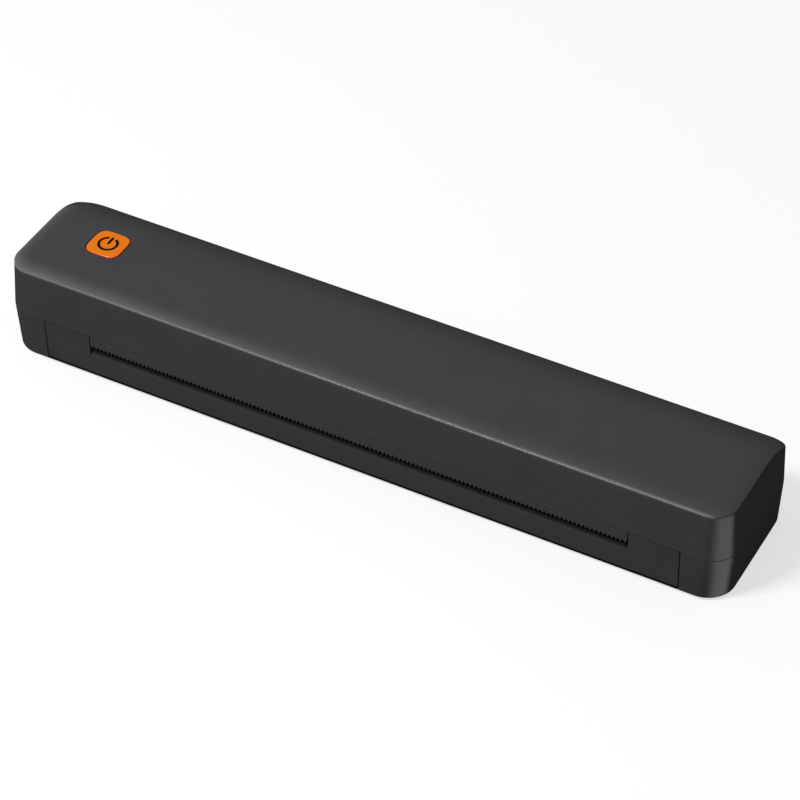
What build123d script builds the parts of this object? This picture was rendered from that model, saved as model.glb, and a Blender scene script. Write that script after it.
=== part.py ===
"""Portable A4 thermal printer: a crowned two-shell case with a hinged front cover, a serrated tear bar,
a geared platen, a sprung thermal head and the electronics that drive them. Millimetres, +Z up,
+X towards the gear end, -Y towards the paper exit, z = 0 under the rubber feet."""
from build123d import *
import os
from math import acos, cos, degrees, floor, hypot, pi, radians, sin, tan

# ---- case: overall sizes ----
DEPTH = 56.8                   # front to back, at the parting line
FOOT_HEIGHT = 0.8              # how far the rubber feet stand proud
LOWER_HEIGHT = 19.0            # underside to parting line
EDGE_RISE = 19.9               # parting line to the crisp edge round the top
CROWN_RISE = 1.2               # crisp edge up to the flat of the top
BACK_DROP = 8.9                # flat of the top down to the back edge
BACK_ROLL = 22.4               # width of the fall to the back
EDGE_ROLL = 8.7                # width of the soft roll along the front and the ends
ROLL_POWER = 2.3               # how late the roll gathers speed
WALL = 2.0                     # shell wall
TOP_EDGE_RADIUS = 0.7
CEILING_FACETS = 6             # flats of the ceiling under the fall to the back
BOTTOM_BEVEL = 0.5

# ---- case: draft as (ends, front, back) insets and the plan corner radii as (front, back) ----
UPPER_DRAFT = (1.7, 0.95, 1.1)
LOWER_DRAFT = (0.85, 0.8, 0.75)
PARTING_CORNERS = (10.6, 10.0)
TOP_CORNERS = (8.7, 6.4)
BOTTOM_CORNERS = (10.7, 8.9)

# ---- paper path ----
PAPER_WIDTH = 216.0            # the widest sheet
PAPER_SIDE_CLEARANCE = 1.1
END_ROOM = 38.0                # edge of the paper to the end of the case: plates, gears and motor
PLATEN_RADIUS = 5.0
PLATEN_INSET = 13.9            # from the front of the case
PLATEN_Z = 8.6
SLOT_LIP_DROP = 1.0            # platen top down to the exit lip
REAR_SLOT_HEIGHT = 3.2
TEAR_TIP_Z = 14.8
TOOTH_HEIGHT = 1.3
TOOTH_PITCH = 1.65
TEAR_THICKNESS = 1.0
TEAR_TIP_THICKNESS = 0.35
TEAR_FLANGE = 6.0
TEAR_SCREW_RADIUS = 0.8
TEAR_SCREW_RISE = 3.4          # above the parting line
TEAR_SCREW_BITE = 1.4          # into the front wall
TEAR_SCREW_COUNT = 4

# ---- front cover ----
EAR_LENGTH = 19.1              # cover beyond each end of the paper slot
COVER_GAP = 0.4                # seam at the cover's ends
COVER_TOP_GAP = 0.3            # seam under the upper shell
COVER_WALL = 1.8
HINGE_INSET = 3.4              # from the front of the case
HINGE_Z = 5.0
HINGE_PIN_RADIUS = 1.0
HINGE_BLOCK = 10.0             # length of the solid end of the rolled edge
LIP_RADIUS = 2.8
LIP_DEPTH = 6.2
RIB = 1.2
COVER_RIB_PITCH = 24.0
MAGNET_RADIUS = 3.0
MAGNET_THICKNESS = 2.0

# ---- clearances ----
RUNNING_FIT = 0.05             # radial, shaft in bush
MOVING_GAP = 0.3               # between pieces that pass each other
SHELL_FIT = 0.1                # between shell tongue and groove
TONGUE_HEIGHT = 1.2

# ---- chassis and drive ----
SHEET = 1.2
CHASSIS_GAP = 0.4              # tray to the foot of the back wall
GEAR_GAP = 0.4                 # platen bush to platen gear
PLATE_GAP = 2.3                # slot end to the inside of a side plate
PLATE_TOP_Z = 31.0
PLATE_INSET = 0.5              # from the front of the floor
PLATE_BACK = 13.0              # head pivot to the back of the plate
PLATE_FRONT_CORNER = (7.0, 2.0)         # down and across
PLATE_BACK_CORNER = (12.0, 8.0)
SHAFT_RADIUS = 2.5
BUSH_WALL = 1.0
GEAR_MODULE = 0.5
PRESSURE_ANGLE = radians(20)
ADDENDUM = 0.9                 # share of the module; stub teeth that clear small pinions
DEDENDUM = 1.25
BACKLASH = 0.1                 # taken off each tooth at the pitch circle
PLATEN_TEETH = 20
IDLER_SMALL_TEETH = 17
IDLER_LARGE_TEETH = 38
PINION_TEETH = 14
GEAR_WIDTH = 3.8
PINION_WIDTH = 3.0
IDLER_DIRECTION = radians(60)  # platen to idler, from +Y towards +Z
MOTOR_DIRECTION = radians(12)  # idler to motor
DISH = 0.74                    # recess in the large gear's side, as a share of its pitch radius
DISH_DEPTH = 1.2
AXLE_RADIUS = 1.2
AXLE_END = 1.0                 # axle beyond the plates
MOTOR_RADIUS = 10.0
MOTOR_LENGTH = 15.0
MOTOR_SHAFT_RADIUS = 1.0
EAR_REACH = 2.8                # ear screws beyond the motor's can
EAR_RADIUS = 3.0
EAR_DIRECTION = radians(50)

# ---- thermal head ----
HEAD_REACH = 13.5              # platen to head pivot
HEAD_PIVOT_Z = 20.0
HEAD_ROD_RADIUS = 1.25
HEAD_BAR_THICKNESS = 3.0
CERAMIC_THICKNESS = 0.8
FIN_HEIGHT = 5.0
FIN = 1.0
FIN_PITCH = 3.0
FIN_COUNT = 4
SINK_FRONT = 0.5               # ahead of the ceramic
LUG_LENGTH = 10.0
HEATER_HALF = 0.6              # half width of the raised heater line
SPRING_COUNT = 4
SPRING_WIDTH = 6.0             # leaf springs, bent to a C
SPRING_SHEET = 0.4
SPRING_ARM = 3.2
SPRING_LENGTH = 8.4
SPRING_POCKET = 1.0            # fins to the spring
HEAD_LIFT_ROOM = 2.2           # fins to the spring bridge
CERAMIC_FRONT = 4.5            # ahead of the platen's centre line
CERAMIC_BACK = 6.5
HEAD_BOARD_WIDTH = 4.8
BRIDGE_WIDTH = 9.0
BRIDGE_OFFSET = 0.5            # behind the platen's centre line

# ---- electronics ----
BOARD_THICKNESS = 1.6
BOARD_HEADROOM = 3.9           # board to the inside of the top
BOARD_LENGTH = 122.0
BOARD_WIDTH = 24.0
# board parts as (from the board's right end, y, length, width, height)
PARTS_ABOVE = [(20, -4, 7.0, 7.0, 1.0), (34, 5, 4.0, 4.0, 2.0), (42, -5, 10.0, 5.0, 1.2),
               (62, 0, 12.0, 9.0, 1.8)]
PARTS_BELOW = [(14, 5, 12.0, 4.5, 3.0), (34, -6, 16.0, 4.5, 3.0), (54, 5, 6.0, 6.0, 3.0),
               (70, -5, 5.0, 5.0, 2.5)]
BUTTON_FROM_END = 29.3
BUTTON_Y = -0.8
BUTTON_SIZE = 15.2
BUTTON_PROUD = 0.7
BUTTON_EDGE = 0.6
BUTTON_TRAVEL = 0.5
BUTTON_FLANGE = 1.0
SWITCH_SIZE = 6.0
SWITCH_HEIGHT = 1.5
PLUNGER_RADIUS = 1.5
USB_WIDTH = 8.94
USB_HEIGHT = 3.2
USB_DEPTH = 7.3
USB_WALL = 0.3
USB_TONGUE = (6.6, 0.7, 0.8)   # width, thickness and step back from the mouth
CELL_THICKNESS = 6.8
CELL_APART = 2.0
CELL_END_ROOM = 6.4            # cell to the guide's leg
CELL_FRONT_ROOM = 3.0
CELL_BACK_ROOM = 1.9
CELL_CORNER = 2.0
LIGHT_RADIUS = 1.0             # charge light beside the socket
LIGHT_OFFSET = 8.5
LIGHT_LENGTH = 5.0

# ---- fasteners and feet ----
POST_INSET_X = 8.5             # case screws from the ends
POST_INSET_Y = 10.9            # case screws from the front
POST_CLEARANCE = 1.36          # rear posts behind the motor
POST_RADIUS = 3.3
SCREW_RADIUS = 1.25
SCREW_HEAD_RADIUS = 2.25
SCREW_HEAD = 1.8
SCREW_HEAD_DEPTH = 6.0         # underside to the seat of the screw head
SCREW_REACH = 12.0             # thread into the upper shell
FOOT_RADIUS = 4.5
FOOT_SEAT = 0.6
FOOT_INSET_X = 26.0
FOOT_INSET_FRONT = 13.9
FOOT_INSET_BACK = 9.4

# ---- small sizes ----
SLOT_STEP = 0.2                # rear slot below the paper guide
GUIDE_DROP = 1.0               # platen top down to the paper guide
GUIDE_PLATE = 1.4
GUIDE_RIB = 0.5
GUIDE_RIB_PITCH = 18.0
GUIDE_RIB_ENDS = (2.0, 1.0)    # ribs short of the guide's front and back
GUIDE_LEG = 12.0
LEG_CLEARANCE = 3.0            # chassis screw to the guide's leg
UPPER_GUIDE_RISE = 3.3         # lower guide to upper guide
UPPER_GUIDE_START = 4.0        # behind the head's pivot
SENSOR_X = 60.0
SENSOR_SIZE = (6.0, 4.0, 1.6)
SENSOR_INSET = 6.0             # from the guide's front
HINGE_PIN_HOLD = 6.0           # pin length in the base
HINGE_PIN_PLAY = 0.5           # end of the pin to the end of its hole
HINGE_BOSS = 2.5               # boss radius over the pin's
CHEEK_DEPTH = 3.0
MAGNET_Z = 15.0
CATCH_SIZE = 8.0
CATCH_INSET = 3.0              # from the end of the paper slot
CATCH_FOOT = 6.0
TEAR_SEAM = 0.15
SMALL_SCREW_RADIUS = 0.9
SMALL_SCREW_BITE = 1.2
SMALL_SCREW_HEAD = 1.0
CHASSIS_SCREW_INSET = (6.0, 3.0, 2.5)   # from the side plate, the tray's front and its back
BRACKET_PAD = 7.0              # pad under the bracket's foot
BRACKET_FOOT = 9.0
BRACKET_MARGIN = 6.0           # plate beyond the motor's can
BRACKET_CORNER = 5.0
MOTOR_FLANGE = 0.8
MOTOR_SHAFT_SEAT = 4.0         # shaft inside the motor
BOARD_SCREW_INSET = (8.5, 4.0, 4.0)     # from the board's left end, right end and long sides
BOARD_POST_RADIUS = 2.4
BOARD_SCREW_RADIUS = 0.8
BOARD_SCREW_REACH = 2.6
RIB_CLEARANCE = 6.0
TOP_RIB_COUNT = 5

# ---- levels and places that follow from them ----
LENGTH = PAPER_WIDTH + 2 * END_ROOM        # over the ends, at the parting line
UNDERSIDE_Z = FOOT_HEIGHT
FLOOR_Z = UNDERSIDE_Z + WALL
PARTING_Z = UNDERSIDE_Z + LOWER_HEIGHT
EDGE_Z = PARTING_Z + EDGE_RISE
CREST_Z = EDGE_Z + CROWN_RISE
HALF = LENGTH / 2
BACK_ROLL_START = DEPTH / 2 - BACK_ROLL
HINGE_Y = -DEPTH / 2 + HINGE_INSET
PLATEN_Y = -DEPTH / 2 + PLATEN_INSET
HEAD_PIVOT_Y = PLATEN_Y + HEAD_REACH
BRIDGE_Y = PLATEN_Y + BRIDGE_OFFSET
BOARD_TOP_Z = CREST_Z - WALL - BOARD_HEADROOM
SLOT_HALF = PAPER_WIDTH / 2 + PAPER_SIDE_CLEARANCE
COVER_HALF = SLOT_HALF + EAR_LENGTH
CHEEK_X = COVER_HALF + COVER_GAP
PLATE_X = SLOT_HALF + PLATE_GAP            # inner face of a side plate
PLATE_OUT = PLATE_X + SHEET
PLATEN_TOP_Z = PLATEN_Z + PLATEN_RADIUS
LIP_Z = PLATEN_TOP_Z - SLOT_LIP_DROP
ROLLED_RADIUS = HINGE_Z - UNDERSIDE_Z      # rolled lower edge of the cover, round the hinge
FLOOR_FRONT_Y = HINGE_Y + ROLLED_RADIUS + 3 * MOVING_GAP
CHASSIS_TOP = FLOOR_Z + SHEET
BOARD_Z = BOARD_TOP_Z - BOARD_THICKNESS
GUIDE_TOP = PLATEN_TOP_Z - GUIDE_DROP
GUIDE_FRONT_Y = PLATEN_Y + PLATEN_RADIUS + 2 * MOVING_GAP
CHASSIS_BACK_Y = DEPTH / 2 - 2 * WALL - CHASSIS_GAP
GEAR_X = PLATE_OUT + 2 * BUSH_WALL + GEAR_GAP   # inner face of the platen gear
IDLER_X = GEAR_X + GEAR_WIDTH + 2 * MOVING_GAP
MOTOR_PLATE_X = IDLER_X + PINION_WIDTH + 2 * MOVING_GAP
MOTOR_PLATE_OUT = MOTOR_PLATE_X + SHEET
IDLER_REACH = GEAR_MODULE * (PLATEN_TEETH + IDLER_SMALL_TEETH) / 2
MOTOR_REACH = GEAR_MODULE * (IDLER_LARGE_TEETH + PINION_TEETH) / 2
IDLER_Y = PLATEN_Y + IDLER_REACH * cos(IDLER_DIRECTION)
IDLER_Z = PLATEN_Z + IDLER_REACH * sin(IDLER_DIRECTION)
MOTOR_Y = IDLER_Y + MOTOR_REACH * cos(MOTOR_DIRECTION)
MOTOR_Z = IDLER_Z + MOTOR_REACH * sin(MOTOR_DIRECTION)
HEATER_Z = PLATEN_TOP_Z + MOVING_GAP
CERAMIC_Z = HEATER_Z + MOVING_GAP
BAR_Z = CERAMIC_Z + CERAMIC_THICKNESS
BAR_TOP = BAR_Z + HEAD_BAR_THICKNESS
BRIDGE_Z = BAR_TOP + SPRING_LENGTH
BUTTON_X = -HALF + BUTTON_FROM_END
OUT_OF_CASE = DEPTH                        # a length that clears the case from any point of it


# ---------------------------------------------------------------- plain shapes
def block(x0, x1, y0, y1, z0, z1):
    """Box between two corners."""
    return Pos((x0 + x1) / 2, (y0 + y1) / 2, (z0 + z1) / 2) * Box(x1 - x0, y1 - y0, z1 - z0)


def rod_x(radius, x0, x1, y, z):
    """Round bar along X."""
    return Pos((x0 + x1) / 2, y, z) * Rot(0, 90, 0) * Cylinder(radius, x1 - x0)


def rod_y(radius, y0, y1, x, z):
    """Round bar along Y."""
    return Pos(x, (y0 + y1) / 2, z) * Rot(90, 0, 0) * Cylinder(radius, y1 - y0)


def post(radius, z0, z1, x, y):
    """Round bar along Z."""
    return Pos(x, y, (z0 + z1) / 2) * Cylinder(radius, z1 - z0)


def along_x(section, x0, x1):
    """A (y, z) section run from x0 to x1."""
    return extrude(Plane.YZ.offset(x0) * section, x1 - x0, dir=(1, 0, 0))


def yz_polygon(*points):
    return Polygon(*points, align=None)


def mirrored(shape):
    """A shape and its twin across the middle of the printer."""
    return [shape, mirror(shape, Plane.YZ)]


def spread(count, half):
    """Even places over the middle of a length."""
    return [half * (2 * (i + 0.5) / count - 1) for i in range(count)]


def mix(a, b, t):
    return a + (b - a) * t


# ---------------------------------------------------------------- case form
def draft_at(z):
    """Insets (ends, front, back) and corner radii (front, back) of the case wall at a height."""
    if z >= PARTING_Z:
        t = (z - PARTING_Z) / EDGE_RISE
        draft, corners = UPPER_DRAFT, TOP_CORNERS
    else:
        t = (PARTING_Z - z) / LOWER_HEIGHT
        draft, corners = LOWER_DRAFT, BOTTOM_CORNERS
    return [d * t for d in draft], [mix(a, b, t) for a, b in zip(PARTING_CORNERS, corners)]


def front_y(z):
    """Front wall at a height."""
    return -DEPTH / 2 + draft_at(z)[0][1]


def end_x(z):
    """End wall at a height."""
    return HALF - draft_at(z)[0][0]


def outline(z, inset):
    """Rounded plan of the case at a height, drawn in from the wall by an inset."""
    (ends, front, back), (front_radius, back_radius) = draft_at(z)
    y0 = -DEPTH / 2 + front + inset
    y1 = DEPTH / 2 - back - inset
    plan = Pos(0, (y0 + y1) / 2, z) * Rectangle(LENGTH - 2 * (ends + inset), y1 - y0)
    plan = fillet(plan.vertices().group_by(Axis.Y)[0], front_radius - inset)
    return fillet(plan.vertices().group_by(Axis.Y)[-1], back_radius - inset).face()


def drafted(z0, z1, inset):
    """Drafted block of the case between two heights on one side of the parting line."""
    return loft([outline(z0, inset), outline(z1, inset)], ruled=True)


def crown_z(x, y):
    """Top skin: flat, rolled along front and ends, falling away to the back."""
    (ends, front, back), _ = draft_at(EDGE_Z)
    reach_x = max(0.0, abs(x) - (HALF - ends - EDGE_ROLL)) / EDGE_ROLL
    reach_y = max(0.0, -DEPTH / 2 + front + EDGE_ROLL - y) / EDGE_ROLL
    fall = max(0.0, y - BACK_ROLL_START) / (DEPTH / 2 - back - BACK_ROLL_START)
    return CREST_Z - CROWN_RISE * hypot(reach_x, reach_y) ** ROLL_POWER - BACK_DROP * fall ** 2


def stations(flat, edge, flat_count, edge_count):
    """Places along one half: sparse over the flat, dense over the rolled edge."""
    inner = [flat * i / flat_count for i in range(flat_count)]
    return inner + [mix(flat, edge, i / edge_count) for i in range(edge_count + 1)]


def under_crown():
    """Everything below the top skin."""
    margin = 3.0
    half_x = stations(HALF - UPPER_DRAFT[0] - 1.4 * EDGE_ROLL, HALF + margin, 4, 8)
    xs = [-x for x in reversed(half_x)] + half_x[1:]
    front = stations(DEPTH / 2 - 1.4 * EDGE_ROLL, DEPTH / 2 + margin, 4, 8)
    back = stations(BACK_ROLL_START, DEPTH / 2 + margin, 2, 9)
    ys = [-y for y in reversed(front)] + back[1:]
    grid = [[Vector(x, y, crown_z(x, y)) for x in xs] for y in ys]
    skin = Face.make_surface_from_array_of_points(grid, tol=0.01, min_deg=3, max_deg=3)
    return Solid.extrude(skin, Vector(0, 0, -2 * EDGE_RISE))


def crowned():
    """The whole upper half of the case, solid."""
    return drafted(PARTING_Z, CREST_Z + CROWN_RISE, 0) & under_crown()


def hollow(inset):
    """Inside of the upper half, drawn in and lowered by an inset, under a ceiling that follows the top."""
    y0, y1 = -DEPTH / 2, DEPTH / 2
    ys = [mix(y0, y0 + EDGE_ROLL, i / 3) for i in range(4)]
    ys += [mix(BACK_ROLL_START, y1, i / CEILING_FACETS) for i in range(CEILING_FACETS + 1)]
    ceiling = [(y, crown_z(0, y) - inset) for y in ys]
    section = yz_polygon((y1, PARTING_Z), (y0, PARTING_Z), *ceiling)
    return drafted(PARTING_Z, CREST_Z, inset) & along_x(section, -HALF, HALF)


def post_places():
    """Case screws, one near each corner."""
    x = HALF - POST_INSET_X
    ys = (POST_INSET_Y - DEPTH / 2, MOTOR_Y + MOTOR_RADIUS + POST_RADIUS + POST_CLEARANCE)
    return [(sx * x, y) for sx in (-1, 1) for y in ys]


def board_screw_places():
    left, right, side = BOARD_SCREW_INSET
    ends = (board_end() + left, board_end() + BOARD_LENGTH - right)
    return [(x, sy * (BOARD_WIDTH / 2 - side)) for x in ends for sy in (-1, 1)]


def board_end():
    """Left edge of the main board, just inside the end wall."""
    return -end_x(BOARD_Z) + WALL + MOVING_GAP


def squircle(size, z):
    """Square with bulging sides and soft corners, as a sketch at a height."""
    corner = 0.45 * size
    half = size / 2
    points = [(corner, corner), (-corner, corner), (-corner, -corner), (corner, -corner)]
    mids = [(0, half), (-half, 0), (0, -half), (half, 0)]
    arcs = [ThreePointArc(points[i], mids[i], points[(i + 1) % 4]) for i in range(4)]
    face = make_face(Curve() + arcs)
    return Pos(BUTTON_X, BUTTON_Y, z) * fillet(face.vertices(), 0.26 * size)


# ---------------------------------------------------------------- case pieces
def tear_screw_places():
    return [(x, PARTING_Z + TEAR_SCREW_RISE) for x in spread(TEAR_SCREW_COUNT, SLOT_HALF)]


def usb_z():
    """Centre of the socket, which hangs under the main board."""
    return BOARD_Z - USB_HEIGHT / 2


def usb_mouth():
    """Where the socket's mouth stands, just inside the face of the end wall."""
    return -end_x(usb_z()) + MOVING_GAP


def case_screw_bore(z0, z1):
    return [post(SCREW_RADIUS, z0, z1, x, y) for x, y in post_places()]


def upper_shell():
    outer = crowned()
    lowest = EDGE_Z - BACK_DROP - 1
    rim = [e for e in outer.edges() if e.center().Z > lowest and abs((e % 0.5).Z) < 0.5]
    shell = fillet(rim, TOP_EDGE_RADIUS) - hollow(WALL)
    groove = drafted(PARTING_Z, PARTING_Z + TONGUE_HEIGHT + SHELL_FIT, WALL / 2)
    shell -= groove - block(-CHEEK_X, CHEEK_X, -OUT_OF_CASE, 0, 0, CREST_Z)
    solid = hollow(WALL / 2)
    inside = [post(POST_RADIUS, PARTING_Z, CREST_Z, x, y) for x, y in post_places()]
    inside += [post(BOARD_POST_RADIUS, BOARD_TOP_Z, CREST_Z, x, y) for x, y in board_screw_places()]
    first = board_end() + BOARD_LENGTH + RIB_CLEARANCE
    last = HALF - POST_INSET_X - POST_RADIUS - RIB_CLEARANCE
    for i in range(TOP_RIB_COUNT):
        x = mix(first, last, i / (TOP_RIB_COUNT - 1))
        inside.append(block(x, x + RIB, 2 * WALL - DEPTH / 2, DEPTH / 2 - 2 * WALL, BOARD_TOP_Z, CREST_Z))
    shell += [piece & solid for piece in inside]
    shell -= case_screw_bore(PARTING_Z, PARTING_Z + SCREW_REACH + 1)
    shell -= [post(BOARD_SCREW_RADIUS, BOARD_TOP_Z, BOARD_TOP_Z + BOARD_SCREW_REACH, x, y)
              for x, y in board_screw_places()]
    shell -= extrude(squircle(BUTTON_SIZE + 2 * MOVING_GAP, BOARD_TOP_Z + SWITCH_HEIGHT), OUT_OF_CASE)
    for x, z in tear_screw_places():
        inner = front_y(z) + WALL
        shell -= rod_y(TEAR_SCREW_RADIUS, inner - TEAR_SCREW_BITE - SHELL_FIT, inner + WALL, x, z)
    mouth = SlotOverall(USB_WIDTH + 2 * SHELL_FIT, USB_HEIGHT + 2 * SHELL_FIT)
    shell -= along_x(Pos(0, usb_z()) * mouth, -HALF - 1, -HALF + 2 * WALL + 1)
    return shell - rod_x(LIGHT_RADIUS, -HALF - 1, -HALF + 2 * WALL + 1, LIGHT_OFFSET, usb_z())


def base_shell():
    bevel_z = UNDERSIDE_Z + BOTTOM_BEVEL
    bevel = loft([outline(UNDERSIDE_Z, BOTTOM_BEVEL), outline(bevel_z, 0)], ruled=True)
    outer = drafted(bevel_z, PARTING_Z, 0) + bevel
    shell = outer - drafted(FLOOR_Z, PARTING_Z, WALL)
    tongue = drafted(PARTING_Z, PARTING_Z + TONGUE_HEIGHT, WALL / 2 + SHELL_FIT)
    shell += tongue - drafted(PARTING_Z, PARTING_Z + TONGUE_HEIGHT, WALL)
    shell -= block(-CHEEK_X, CHEEK_X, -OUT_OF_CASE, FLOOR_FRONT_Y, 0, CREST_Z)
    shell -= block(-CHEEK_X, CHEEK_X, -OUT_OF_CASE, 0, PARTING_Z, CREST_Z)
    cheek = block(CHEEK_X, CHEEK_X + WALL, -OUT_OF_CASE, FLOOR_FRONT_Y + CHEEK_DEPTH, 0, CREST_Z)
    boss = rod_x(HINGE_BOSS * HINGE_PIN_RADIUS, CHEEK_X, CHEEK_X + HINGE_PIN_HOLD, HINGE_Y, HINGE_Z)
    for side in mirrored(cheek) + mirrored(boss):
        shell += side & outer
    for x, y in post_places():
        shell += post(POST_RADIUS, FLOOR_Z, PARTING_Z, x, y)
    pad_x = MOTOR_PLATE_OUT + 2 * SHEET
    for y in bracket_screw_ys():
        pad_y = y - BRACKET_PAD / 2
        shell += block(pad_x, pad_x + BRACKET_PAD, pad_y, pad_y + BRACKET_PAD, FLOOR_Z, CHASSIS_TOP)
    shell -= case_screw_bore(UNDERSIDE_Z, PARTING_Z)
    shell -= [post(SCREW_HEAD_RADIUS + SHELL_FIT, 0, UNDERSIDE_Z + SCREW_HEAD_DEPTH, x, y)
              for x, y in post_places()]
    shell -= [post(FOOT_RADIUS + SHELL_FIT / 2, 0, UNDERSIDE_Z + FOOT_SEAT, x, y) for x, y in foot_places()]
    shell -= mirrored(rod_x(HINGE_PIN_RADIUS, CHEEK_X - 1, CHEEK_X + HINGE_PIN_HOLD, HINGE_Y, HINGE_Z))
    shell -= rear_slot()
    shell -= [post(SMALL_SCREW_RADIUS, FLOOR_Z - SMALL_SCREW_BITE, FLOOR_Z + 1, x, y)
              for x, y in chassis_screw_places()]
    return shell - [post(SMALL_SCREW_RADIUS, FLOOR_Z - SMALL_SCREW_BITE, CHASSIS_TOP, x, y)
                    for x, y in bracket_screw_places()]


def rear_slot():
    z0 = GUIDE_TOP - SLOT_STEP
    slot = block(-SLOT_HALF, SLOT_HALF, 0, OUT_OF_CASE, z0, z0 + REAR_SLOT_HEIGHT)
    return slot - block(-HALF, HALF, 0, DEPTH / 2 - 2 * WALL, 0, CREST_Z)


def foot_places():
    x = HALF - FOOT_INSET_X
    ys = (FOOT_INSET_FRONT - DEPTH / 2, DEPTH / 2 - FOOT_INSET_BACK)
    return [(sx * x, y) for sx in (-1, 1) for y in ys]


def rubber_feet():
    foot = Cylinder(FOOT_RADIUS, FOOT_HEIGHT + FOOT_SEAT)
    foot = chamfer(foot.edges().group_by(Axis.Z)[0], FOOT_HEIGHT / 2)
    return [Pos(x, y, (FOOT_HEIGHT + FOOT_SEAT) / 2) * foot for x, y in foot_places()]


def case_screws():
    """Long screws that hold the base to the posts of the upper shell."""
    seat = UNDERSIDE_Z + SCREW_HEAD_DEPTH
    top = PARTING_Z + SCREW_REACH
    return [post(SCREW_RADIUS, seat, top, x, y) + post(SCREW_HEAD_RADIUS, seat - SCREW_HEAD, seat, x, y)
            for x, y in post_places()]


def cover_panel():
    """Section of the cover under the paper slot, with its rolled lip."""
    foot_y = front_y(UNDERSIDE_Z)
    lip_y = front_y(LIP_Z)
    lip_foot = LIP_Z - LIP_RADIUS - COVER_WALL
    inner = UNDERSIDE_Z + COVER_WALL
    panel = yz_polygon((lip_y, LIP_Z), (foot_y, UNDERSIDE_Z), (HINGE_Y, UNDERSIDE_Z), (HINGE_Y, inner),
                       (foot_y + COVER_WALL, inner), (front_y(lip_foot) + COVER_WALL, lip_foot),
                       (lip_y + LIP_DEPTH, LIP_Z - COVER_WALL), (lip_y + LIP_DEPTH, LIP_Z))
    return fillet(panel.vertices().sort_by_distance((lip_y, LIP_Z, 0))[0], LIP_RADIUS)


def cover_rib():
    """Section of a rib that stiffens the cover under its lip."""
    foot = UNDERSIDE_Z + COVER_WALL / 2
    head = LIP_Z - COVER_WALL
    lip_y = front_y(LIP_Z)
    return yz_polygon((lip_y + COVER_WALL / 2, foot), (HINGE_Y, foot),
                      (lip_y + LIP_DEPTH - RIB, head), (lip_y + COVER_WALL, head))


def cover_ear():
    """Solid end of the cover beside the paper slot, with the knuckle that turns on the hinge pin."""
    top = PARTING_Z - COVER_TOP_GAP
    foot_y = front_y(UNDERSIDE_Z)
    ear = yz_polygon((front_y(top), top), (foot_y, UNDERSIDE_Z), (HINGE_Y, UNDERSIDE_Z),
                     (HINGE_Y + MOVING_GAP, top))
    knuckle = rod_x(ROLLED_RADIUS, COVER_HALF - HINGE_BLOCK, COVER_HALF, HINGE_Y, HINGE_Z)
    reach = yz_polygon((foot_y, 0), (0, 0), (0, top), (front_y(top), top))
    return along_x(ear, SLOT_HALF, COVER_HALF) + (knuckle & along_x(reach, 0, HALF))


def rolled_edge():
    """Lower edge of the cover, rolled round the hinge line and hollow between its ends."""
    rolled = rod_x(ROLLED_RADIUS, 0, COVER_HALF, HINGE_Y, HINGE_Z)
    bore = rod_x(ROLLED_RADIUS - COVER_WALL, 0, COVER_HALF - HINGE_BLOCK, HINGE_Y, HINGE_Z)
    return (rolled - bore) & block(0, COVER_HALF, HINGE_Y, 0, 0, HINGE_Z)


def front_cover():
    cover = along_x(cover_panel(), -SLOT_HALF, SLOT_HALF) + mirrored(cover_ear()) + mirrored(rolled_edge())
    count = int(2 * SLOT_HALF / COVER_RIB_PITCH)
    cover += [along_x(cover_rib(), x - RIB / 2, x + RIB / 2) for x in spread(count, SLOT_HALF)]
    foot = cover.edges().filter_by(Axis.X).group_by(Axis.Z)[0].sort_by(Axis.Y)[0]
    cover = chamfer(foot, BOTTOM_BEVEL)
    bore_x = COVER_HALF - HINGE_BLOCK + 2 * HINGE_PIN_PLAY
    cover -= mirrored(rod_x(HINGE_PIN_RADIUS + RUNNING_FIT, bore_x, HALF, HINGE_Y, HINGE_Z))
    return cover - mirrored(cover_magnet())


def cover_magnet():
    """Disc magnet let into the back of a cover ear."""
    return rod_y(MAGNET_RADIUS, HINGE_Y - MAGNET_THICKNESS, HINGE_Y, SLOT_HALF + EAR_LENGTH / 2, MAGNET_Z)


def catch_plate():
    """Steel plate that the magnet meets, bent to the cheek of the base."""
    face = HINGE_Y + MOVING_GAP + SHEET / 2
    low, high = MAGNET_Z - CATCH_SIZE / 2, MAGNET_Z + CATCH_SIZE / 2
    plate = block(SLOT_HALF + CATCH_INSET, CHEEK_X, face, face + SHEET, low, high)
    return plate + block(CHEEK_X - SHEET, CHEEK_X, face, face + CATCH_FOOT, low, high)


def hinge_pin():
    inner = COVER_HALF - HINGE_BLOCK + 3 * HINGE_PIN_PLAY
    return rod_x(HINGE_PIN_RADIUS, inner, CHEEK_X + HINGE_PIN_HOLD, HINGE_Y, HINGE_Z)


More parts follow.
